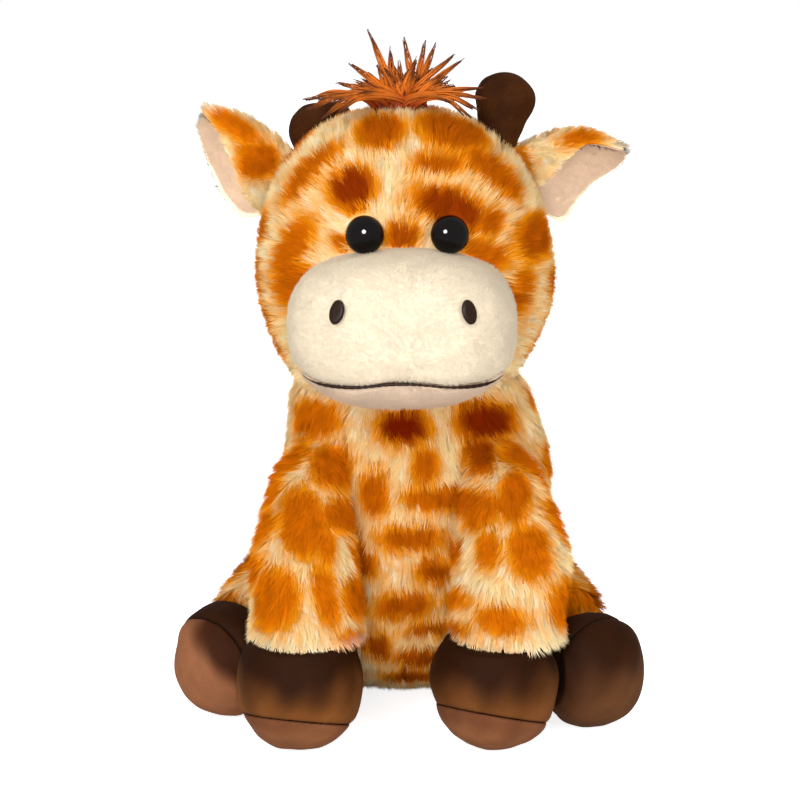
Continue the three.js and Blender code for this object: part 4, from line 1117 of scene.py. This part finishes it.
def ear_frame(name, side):
    """The ear's root on the head, and the ways along it, out of the head, forward and down."""
    place = vec(side, 8.0, 33.0)
    rest = 1 - (np.abs(place / head_half) ** head_power)[1:].sum()
    place[0] = side * head_half[0] * rest ** (1 / head_power)
    lift, toe = np.radians(ear_raise[name]), np.radians(4)
    along = unit(vec(side * np.cos(lift), -np.sin(toe), np.sin(lift)))
    across = unit(np.cross(slope(place, head_half, head_power), [0, 1, 0]) * side)
    forward = unit(np.cross(across, along) * -side)
    return head_middle + place, along, across, forward, unit(np.cross(along, forward) * side)


def ear_surface(name, side, offset, reach_share=1.0, start=-0.09):
    """u runs from the rear flap's edge over the ridge to the front one's, v from root to tip. A
    point at a reach from the ridge turns round the fold by reach / radius, up to the flap's
    angle, and goes straight on from there."""
    at, along, across, forward, low_end = ear_frame(name, side)

    def surface(u, v):
        u, v = pair(u, v)
        level = start + (ear_tip[name] - start) * v
        rear, front, radius, angle, full = (np.interp(level, ear_levels[:, 0], c)
                                            for c in ear_levels.T[1:])
        rear = ear_rear_flap * rear * reach_share
        reach = -rear + (rear + ear_front_flap[name] * front * reach_share) * u
        fold = np.maximum(ear_fold * radius, 0.4)
        most = np.radians(84) * angle
        turn = np.sign(reach) * np.minimum(most, np.abs(reach) / fold)
        straight = reach - turn * fold
        depth = offset * full
        ahead = fold * np.sin(turn) + straight * np.cos(most) - depth * np.sin(turn)
        below = (fold * (1 - np.cos(turn)) + np.abs(straight) * np.sin(most)
                 + depth * np.cos(turn))
        bow = (14.2 + 2.5 * np.sin(np.pi * np.clip(level, 0, 1))
               - ear_droop[name] * step(0.6, 1, level))
        ridge = at + along * (ear_length[name] * level)[..., None] + across * bow[..., None]
        low = unit(mix(-across, low_end, np.minimum(1, 2 * level)))
        return ridge + forward * ahead[..., None] + low * below[..., None]

    return surface


uu, vv = np.meshgrid(np.linspace(0, 1, 61), np.linspace(0, 1, 50))
for name, side in sides:
    _, along, _, _, low = ear_frame(name, side)
    outside, inside = (ear_surface(name, side, d) for d in (-1.8, -0.3))
    spots = place_spots(outside, ear_spots_seen[name], seed=60 + side, gap=4, size=(5, 8),
                        front=0.2, under=inside)
    rear_edge = outside(np.zeros(50), np.linspace(0, 1, 50))
    tip_edge = outside(np.linspace(0, 0.6, 12), np.ones(12))
    rim = (np.r_[rear_edge, tip_edge], unit(low + 0.4 * along))
    parts = coat(outside, spots, 70 + side, 4.6, combed(along),
                 slab(outside(uu, vv), inside(uu, vv)), rim=rim, under=inside)
    piece(f"ear_{name}", parts, fur, f"ear_{name}", "printed_fur", fill=0.4)
    top, bottom = (ear_surface(name, side, d, 0.92, -0.05) for d in (0.4, 1.2))
    parts = nap(bottom, 75 + side, "#E9C7A8", combed(along), slab(bottom(uu, vv), top(uu, vv)),
                length=2.2, under=top)
    piece(f"ear_lining_{name}", parts, lining_cloth, f"ear_{name}", "ear_lining", fill=0.3)

# %% [markdown]
# ## Horns and hair
# The horns are velboa clubs, each sewn shut along one side. The hair is yarn whose strands were
# split into fibres: each strand is a bundle that is tight at the root and comes together again in
# a thin tip. The strands that the photograph shows are aimed one by one, the others fan out.

# %% Horns
horn_levels = [[0, 0.64], [0.3, 0.8], [0.6, 0.98], [0.8, 1], [1, 0.88]]
horn_way = {"left": unit(vec(0.2, 0.1, 1)), "right": unit(vec(-0.55, 0.8, -0.4))}
horn_inward = {"left": 3.0, "right": 0.0}  # how far inside the joint the root is sewn
for name, _ in sides:
    joint = next(j for j in frame["joints"] if j["name"] == f"horn_bend_{name}")
    at = np.array(joint["pos_m"]) / MM - [horn_inward[name], 0, 0]
    way = horn_way[name]
    rows = [[*(at + way * 25 * length), 12 * r, 12 * r] for length, r in horn_levels]
    form = stuffed([[*(at - way * 4), 6.6, 6.6], *rows], (3, 12), 2.1, across=(0, 1, 0))

    def horn_surface(u, v):
        """The club, with a shallow seam down one side and slack cloth near its root."""
        p = form(u, v)
        axis = at + way * ((p - at) @ way)[..., None]
        seam = 0.7 * bell((u - 0.32 + 0.5) % 1, 0.5, 0.018)
        slack = 0.35 * ripple(p, 11, 81) + 0.5 * np.cos(2 * np.pi * u * 7) * step(0.45, 0.1, v)
        return p + unit(p - axis) * (slack - seam)[..., None]

    club = skin(horn_surface, 96, 70)
    piece(f"horn_{name}", [club], horn_cloth, f"horn_{name}", "hoof", fill=0.8)

# %% Yarn tuft
strand_tips = [  # across and up, in the picture, and how far each leans towards the camera
    (-14, 145, 4), (-22, 132, 10), (-5, 138, -4), (0, 142, -8), (13, 139.5, 2), (8.5, 140.5, -10),
    (21, 135.5, 4), (24, 133.5, -6), (32, 122, 12), (33, 117.5, 16), (-40, 117, 6), (-36, 117, 14),
    (-38, 113, 16), (-30, 116, 18), (30, 113, 20), (27, 110, 20), (-26, 112, 20), (-33, 109.5, 20),
    (20, 116, 18), (-18, 120, 16), (-10, 131, 8), (5, 133, 6), (16, 128, 12), (-27, 124, -6),
]
fibres_in_strand, strand_radius, fibre_radius = 9, 0.75, 0.5
crown = vec(0.0, -1.4, 231.5)
deep_rust, bright_rust, dark_tip = linear("#8C2603"), linear("#CB6B1B"), linear("#4E210C")
random = np.random.default_rng(90)
tips, parts = [], []
for a, b, lean in strand_tips:
    way = unit(view_target + picture_across * a + picture_up * b - camera_place)
    tips.append(camera_place + way * ((crown[1] - lean - camera_place[1]) / way[1]))
for k in range(26):
    turn = np.radians(-20 + 220 * k / 25)
    level = random.uniform(0.4, 1.0)
    tips.append(crown + [26 * np.cos(turn) * level, 22 * np.sin(turn) * level, 20 * (1.25 - level)])
for k in range(16):
    tips.append(crown + [*random.normal(size=2) * [5, 3], random.uniform(12, 20)])
t = np.linspace(0, 1, 14)
share = np.r_[np.repeat(t, 5), 0, 1]
strand_tint = mix(deep_rust, bright_rust, step(0.1, 0.6, share))
strand_tint = mix(strand_tint, dark_tip, step(0.66, 1, share))
for tip in tips:
    root = crown + [*random.normal(size=2) * [3.2, 1.8], -3]
    flat = (tip - root) * [1, 1, 0]
    droop = step(14, -2, tip[2] - crown[2])
    rise = root + vec(0, 0, 6.5) + flat * (0.12 + 0.12 * droop)
    bow = rise + (tip - rise) * 0.5 + vec(0, 0, 3.5) * droop
    way = unit(tip - rise)
    side = unit(np.cross(way, [0.3, 0.8, 0.2]))
    over = np.cross(way, side)
    for k in range(fibres_in_strand):
        turn = 2 * np.pi * k / (fibres_in_strand - 1) + random.random()
        fray = (side * np.cos(turn) + over * np.sin(turn)) * (strand_radius if k else 0.0)
        end = tip + fray * 0.2 - way * random.uniform(0, 4)
        line = smooth_curve([root + fray, rise + fray * 1.1, bow + fray, end], t)
        line = line + (side * np.sin(t * 9 + k)[:, None] + over * np.cos(t * 7 + k)[:, None]) * 0.3
        thick = fibre_radius * (1 - 0.75 * t**2.5) * random.uniform(0.85, 1.15)
        fibre = tube(line, thick, 5)
        parts.append((*fibre, {"coat": strand_tint * random.uniform(0.75, 1.15)}))
piece("hair_tuft", parts, yarn, "head", "yarn")

# %% [markdown]
# ## Legs
# A leg is a fur sleeve that widens to its cuff, and a round velboa hoof whose sole is a lighter
# panel. The sleeves flatten against the belly. At the cuff the pile hangs over the hoof as a
# fringe. The sole's seam pulls the cloth in, with a small pucker at each stitch.

# %% Sleeves and hooves
def held(points, at, facing, anchor):
    """Points beyond a plane are moved onto it, along the line to an anchor on its other side, so
    that they stay inside a convex form."""
    beyond = np.maximum((points - at) @ facing, 0)
    share = beyond / (beyond + (at - anchor) @ facing)
    return points + (anchor - points) * share[..., None]


def sleeve(leg, surface, seed, v_range, front, length, way, size, **more):
    """A leg's fur, with the body's spots that the camera sees on it."""
    spots = place_spots(surface, body_spots, seed=seed, v_range=v_range, front=front)
    parts = coat(surface, spots, seed + 10, length, combed(way), skin(surface, *size), **more)
    piece(f"{leg}_sleeve", parts, fur, leg, "printed_fur", (f"{leg}_stuffing",), 0.7)


def hoof(leg, form, seam_at, seam_facing, cuff_at, cuff_facing, colours_sheen_and_shade, keep_out=None):
    """The two pieces of a hoof. Each entry is a dark and a light colour, how much the patches show,
    the two heights between which the colour changes, and how far that border leans. The lighter
    part lower down is partly painted sheen of the nap, and the darker part higher up and on the
    side that the border leans to is partly painted shade."""
    middle = form(np.linspace(0, 1, 8, endpoint=False), np.full(8, 0.5)).mean(0)
    on_plane = middle - seam_facing * ((middle - seam_at) @ seam_facing)

    def surface(u, v):
        """The hoof's form on one side of the sole's seam. Near the seam the cloth is drawn in by
        half a millimetre, and a little more at each stitch, 4 mm apart. It narrows to the cuff."""
        p = form(u, v)
        away = (p - seam_at) @ seam_facing
        p = p + unit(p - middle) * (0.6 * ripple(p, 24, 95) + 0.2 * ripple(p, 9, 96))[..., None]
        up = (p - middle) @ cuff_facing
        narrow = 0.1 * step(0, -18, -up)
        p = p - (p - middle - cuff_facing * up[..., None]) * narrow[..., None]
        draw = np.exp(-((np.abs(away) / 1.6) ** 1.5))
        stitch = 1 + 0.3 * np.sin(p @ vec(1.55, 0.7, 0.2))
        p = p - unit(p - middle) * (0.5 * draw * stitch)[..., None]
        p = held(p, seam_at - turned * 0.15, turned, on_plane - turned * 9)
        p = held(p, cuff_at, cuff_facing, middle)
        if keep_out is not None:
            p = keep_out(p)
        p[..., 2] = np.maximum(p[..., 2], floor_gap)
        return p

    for (part, cloth), colour_sheen_and_shade in zip((("hoof", hoof_cloth), ("sole", sole_cloth)), colours_sheen_and_shade):
        turned = -seam_facing if part == "sole" else seam_facing
        dark, light, patchy, high, low, lean = colour_sheen_and_shade
        points, faces = skin(surface, 140, 110)
        # Painted sheen and shade: the colour goes from dark at the upper height to light at the
        # lower one, along a border that leans across the hoof
        level = points[:, 2] + lean * (points[:, 0] - points[:, 0].mean())
        share = step(high, low, level + 5 * ripple(points, 18, 97))
        colour = mix(linear(dark), linear(light), share)
        colour = colour * (1 + patchy * ripple(points, 10, 98))[:, None]
        near = bell((points - seam_at) @ seam_facing, 0, 0.55)  # the thread and its shade
        stitch = 0.7 + 0.3 * np.sin(points @ vec(3.1, 1.4, 0.4))
        colour = colour * (1 - 0.6 * near * stitch)[:, None]
        piece(f"{leg}_{part}", [(points, faces, {"coat": colour})], cloth, leg, part, fill=0.85)


# %% Front legs
front_seam = {"left": (-10.0, 3.0), "right": (-6.0, 1.0)}  # roll, degrees; rise, mm
front_fuller, hoof_inward = {"left": 5.0, "right": 1.0}, {"left": 2.0, "right": 0.6}
front_colours_sheen_and_shade = (("#270F01", "#75451F", 0.1, 36, 14, 0.0), ("#673C25", "#7F5032", 0.1, 20, 8, 0.0))
for name, side in sides:
    leg = f"front_leg_{name}"
    root, low = front_leg_line(name)
    sleeve_form = stuffed(front_leg_stations(name), (10, 10), 2.2, grow=0.6 - pile_height)

    def sleeve_surface(u, v):
        """The sleeve, laid back and pressed flat on the torso at the shoulder, and cut level at the
        cuff. Its outer side is fuller in the middle, on the toy's left by 5 mm, and drawn in by
        4 mm at the cuff."""
        p = sleeve_form(u, v).copy()
        top = step(66, shoulder_high, p[..., 2])
        p[..., 1] += 18 * top
        p[..., 0] -= 2 * side * top
        outer = step(0, 20, (p[..., 0] - low[0]) * side)
        fuller = front_fuller[name] * step(110, 80, p[..., 2]) * step(46, 76, p[..., 2])
        p[..., 0] += side * outer * (fuller - 4.0 * step(74, 46, p[..., 2]))
        _, sunk = level_on_torso(p, 5.2)
        p = out_of_torso(p + (sunk - p) * step(96, 112, p[..., 2])[..., None])
        return held(p, low + [0, 0, 0.4], vec(0, 0, -1.0), low + [0, 0, 30])

    def sleeve_length(roots, facing):
        """Full pile, shorter in the cuff's fringe."""
        return pile_length - 1.2 * step(cuff_height + 14, cuff_height + 4, roots[:, 2])

    def on_torso(roots, facing):
        """1 where the sleeve lies on the torso: its back, above the lap."""
        return step(0.2, 0.7, facing[:, 1]) * step(50, 70, roots[:, 2])

    def above_cuff(roots, facing):
        """Between the cuff and the shoulder, where the torso's pile takes over."""
        return (roots[:, 2] > cuff_height + 0.8) & (roots[:, 2] < shoulder_high - 12)

    sleeve(leg, sleeve_surface, 100 + side, (0.05, 0.8), 0.1, sleeve_length, unit(low - root),
           (90, 90), where=above_cuff, press=on_torso, keep_out=out_of_torso,
           lean=vec(-0.15, -0.26, 0.22),
           # Painted highlight: the cuff's fringe is paled halfway to milk
           fringe=lambda at: 0.5 * step(cuff_height + 4, cuff_height - 3, at[:, 2]))

    middle = front_hoof[name] - [hoof_inward[name], 0, 0]
    tilt, roll, rise = np.radians(18), np.radians(front_seam[name][0]), front_seam[name][1]
    hoof(leg, stuffed_ball(middle, vec(0, 0, -26), (23.3, 25), 2.15, grow=0.4),
         middle + [0, -25, 17 + rise - middle[2]],
         unit(vec(np.sin(roll), -np.sin(tilt), -np.cos(tilt))),
         vec(0, 0, cuff_height - 0.2), vec(0, 0, 1), front_colours_sheen_and_shade)

# %% Hind legs
hind_hoof_colours_and_sheen = ("#2A1202", "#42220C", 0.1, 40, 10, 0.0)
hind_sole_colours_sheen_and_shade = {"left": ("#291102", "#5E3A21", 0.1, 36, 8, -0.35),
                  "right": ("#381A08", "#8A583A", 0.08, 38, 25, 1.1)}
hind_fuller = {"left": 5.5, "right": 2.5}
hind_shift = {"left": [-0.8, -9.0, 0.0], "right": [1.5, -1.0, -0.8]}  # pressed forward by the body
for name, side in sides:
    leg = f"hind_leg_{name}"
    hip, cuff, along = hind_leg_line(name, side)
    side_way = np.cross(along, [0, 0, 1.0])
    thigh = stuffed(hind_leg_stations(name, side), (26, 10.75), 2.0, across=side_way,
                    grow=0.6 - pile_height)
    clear_hoof = out_of_ball(front_hoof[name], hoof_half + 0.7, 2.35)

    def clear_all(points):
        return out_of_torso(clear_hoof(points))

    def thigh_surface(u, v):
        """The thigh, flattened on the torso and on the front hoof, cut at its cuff. It is fuller at
        its top, by 5.5 mm on the toy's left and 2.5 mm on its right."""
        p = thigh(u, v)
        line = hip + along * ((p - hip) @ along)[..., None]
        p = p + unit(p - line) * (hind_fuller[name] * step(24, 44, p[..., 2]))[..., None]
        p = held(clear_all(p), cuff - along * 0.3, along, hip)
        p[..., 2] = np.maximum(p[..., 2], 0.8)
        return p

    def before_cuff(roots, facing):
        """Up to the cuff, and on its end over the hoof, but not on the flat underside."""
        return (((roots - cuff) @ along < -0.8) | (roots[:, 2] > 30)) & (facing[:, 2] > -0.8)

    def on_neighbour(roots, facing):
        return step(0.2, 0.7, -facing[:, 0] * side)

    def thigh_length(roots, facing):
        """Full pile, longer in the cuff's fringe."""
        return pile_length + 2.5 * step(-12, -3, (roots - cuff) @ along)

    sleeve(leg, thigh_surface, 120 + side, (0.05, 0.85), 0.5, thigh_length,
           along + [0, 0, -0.35], (90, 80), where=before_cuff, press=on_neighbour,
           keep_out=clear_all)

    ball = stuffed_ball(hind_hoof[name] + np.array(hind_shift[name]), along * 20, (20.5, 22), 2.2,
                        across=side_way)
    tilt = np.radians(14)
    hoof(leg, ball, hind_hoof[name] + along * 6, along * np.cos(tilt) - [0, 0, np.sin(tilt)],
         cuff + along * 0.2, -along, (hind_hoof_colours_and_sheen, hind_sole_colours_sheen_and_shade[name]), clear_hoof)

# %% [markdown]
# ## Tail
# The tail is a thin fur tube sewn in at the back, with a brush of dark brown pile at its end.

# %% Tail
tail_points = [[44 * s, 46 + 24 * b, 6.5 + 33.5 * h] for s, b, h in
               [[0, 0, 1], [0.08, 0.55, 0.8], [0.3, 0.9, 0.36], [0.62, 1, 0.06], [1, 0.9, 0]]]
tail_form = stuffed([[*p, 5, 5] for p in tail_points], (5, 1.5), 2.0, grow=-2.4)


def tail_comb(roots, facing):
    """Along the tail, towards its end."""
    line = smooth_curve(tail_points, np.linspace(0, 1, 60))
    nearest = np.argmin(((roots[:, None] - line[None]) ** 2).sum(-1), 1)
    return np.gradient(line, axis=0)[nearest]


tail_spots = place_spots(tail_form, [], seed=140, gap=3, size=(3.5, 6))
parts = coat(tail_form, tail_spots, 141, 4.5, tail_comb, skin(tail_form, 40, 80))
piece("tail", parts, fur, "tail", "printed_fur", fill=0.7)

end = np.array(tail_points[-1])
way = unit(unit(end - tail_points[-2]) * [1, 1, 0])
rows = [[*(end + way * 26 * s), 4.2 * w, 6.4 * w] for s, w in
        [[-0.2, 0.6], [0, 0.75], [0.4, 1], [0.75, 0.7], [1, 0.3]]]
brush = stuffed(rows, (1.5, 5), 2.0, across=(0, 0, 1), grow=-2.0)
random = np.random.default_rng(150)
base = skin(brush, 32, 40)
dark, light = linear("#3A2012"), linear("#5A3520")
roots, _, locks, faces, _ = grown(brush, 0.5, random, combed(way), 9.0, lift=72, spread=14)
tint = dark + (light - dark) * random.random((len(roots), 1))
# Painted shade and highlight: the backing under the brush is 0.6 as bright as its dark colour, each
# lock's root 0.8 as bright, and its tip 1.2 times as bright
parts = furred(base, np.tile(dark * 0.6, (len(base[0]), 1)), locks, faces, tint, (0.8, 1.2))
piece("tail_tuft", parts, fur, "tail", "hoof", fill=0.5)

# %% [markdown]
# ## Studio
# A plain white floor and a white world, with a key, a low front, a fill and a back lamp, all broad
# and soft. A fifth lamp shows only in the eyes. The camera sees the world and the floor at full
# white, and the floor keeps the toy's soft shadow.

# %% Floor, lamps and world
floor_half = 3000.0
corners = np.array([[-1, -1, 0], [1, -1, 0], [1, 1, 0], [-1, 1, 0]]) * floor_half
floor_mesh = bpy.data.meshes.new("studio_floor")
floor_mesh.from_pydata((corners * MM).tolist(), [], [(0, 1, 2, 3)])
floor_object = add_object("studio_floor", floor_mesh)
floor_object.visible_glossy = False
floor_object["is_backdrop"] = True

# White paper: matt, and as bright again to the camera, so that the sweep shows as white.
paper, tree, shader = finish("white_paper_sweep", Base_Color=(0.8, 0.8, 0.8, 1), Roughness=0.9)
to_camera = add_node(tree, "ShaderNodeLightPath").outputs["Is Camera Ray"]
seen_white = add_node(tree, "ShaderNodeMath", {0: to_camera, 1: 0.8}, operation="MULTIPLY")
glow = add_node(tree, "ShaderNodeEmission", {"Color": (1, 1, 1, 1),
                                             "Strength": seen_white.outputs[0]})
both = add_node(tree, "ShaderNodeAddShader", {0: shader.outputs[0], 1: glow.outputs[0]})
tree.links.new(both.outputs[0], tree.nodes["Material Output"].inputs["Surface"])
floor_mesh.materials.append(paper)

world = bpy.data.worlds.new("studio")
bpy.context.scene.world = world
world.use_nodes = True
tree = world.node_tree
to_camera = add_node(tree, "ShaderNodeLightPath").outputs["Is Camera Ray"]
strength = add_node(tree, "ShaderNodeMapRange", {"Value": to_camera, "To Min": 0.62, "To Max": 1.0})
tree.links.new(strength.outputs[0], tree.nodes["Background"].inputs["Strength"])
tree.nodes["Background"].inputs["Color"].default_value = (1, 1, 1, 1)

for name, place, watts, width in (  # metres, watts, metres
        ("key_softbox", (-0.7, -1.1, 1.1), 12.0, 0.7),
        ("front_softbox", (-0.12, -1.0, 0.3), 3.8, 0.4),
        ("back_softbox", (0.3, 1.4, 0.9), 8, 0.8),
        ("fill_softbox", (0.9, -1.0, 0.6), 6, 0.8),
        ("catchlight", (-0.18, -0.9, 0.56), 16, 0.29)):
    data = bpy.data.lights.new(name, "AREA")
    data.shape, data.energy, data.size = "DISK", watts, width
    lamp = add_object(name, data)
    lamp.location = place
    aim = Vector((0, 0, 0.12)) - Vector(place)  # at the toy's middle
    lamp.rotation_euler = aim.to_track_quat("-Z", "Y").to_euler()
    lamp.visible_glossy = name == "catchlight"
    lamp.visible_diffuse = name != "catchlight"
bpy.context.scene.view_settings.view_transform = "Standard"

# %% [markdown]
# ## Size
# Both boxes, the imported model's and the dressed toy's, are written out, so that they can be
# compared.

# %% Write out both boxes and finish
low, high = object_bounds()
{"cad": [list(cad_low), list(cad_high)], "visual": [list(low), list(high)]}
print("cad box", [round(x * 1000, 1) for x in (*cad_low, *cad_high)])
print("visual box", [round(x * 1000, 1) for x in (*low, *high)])
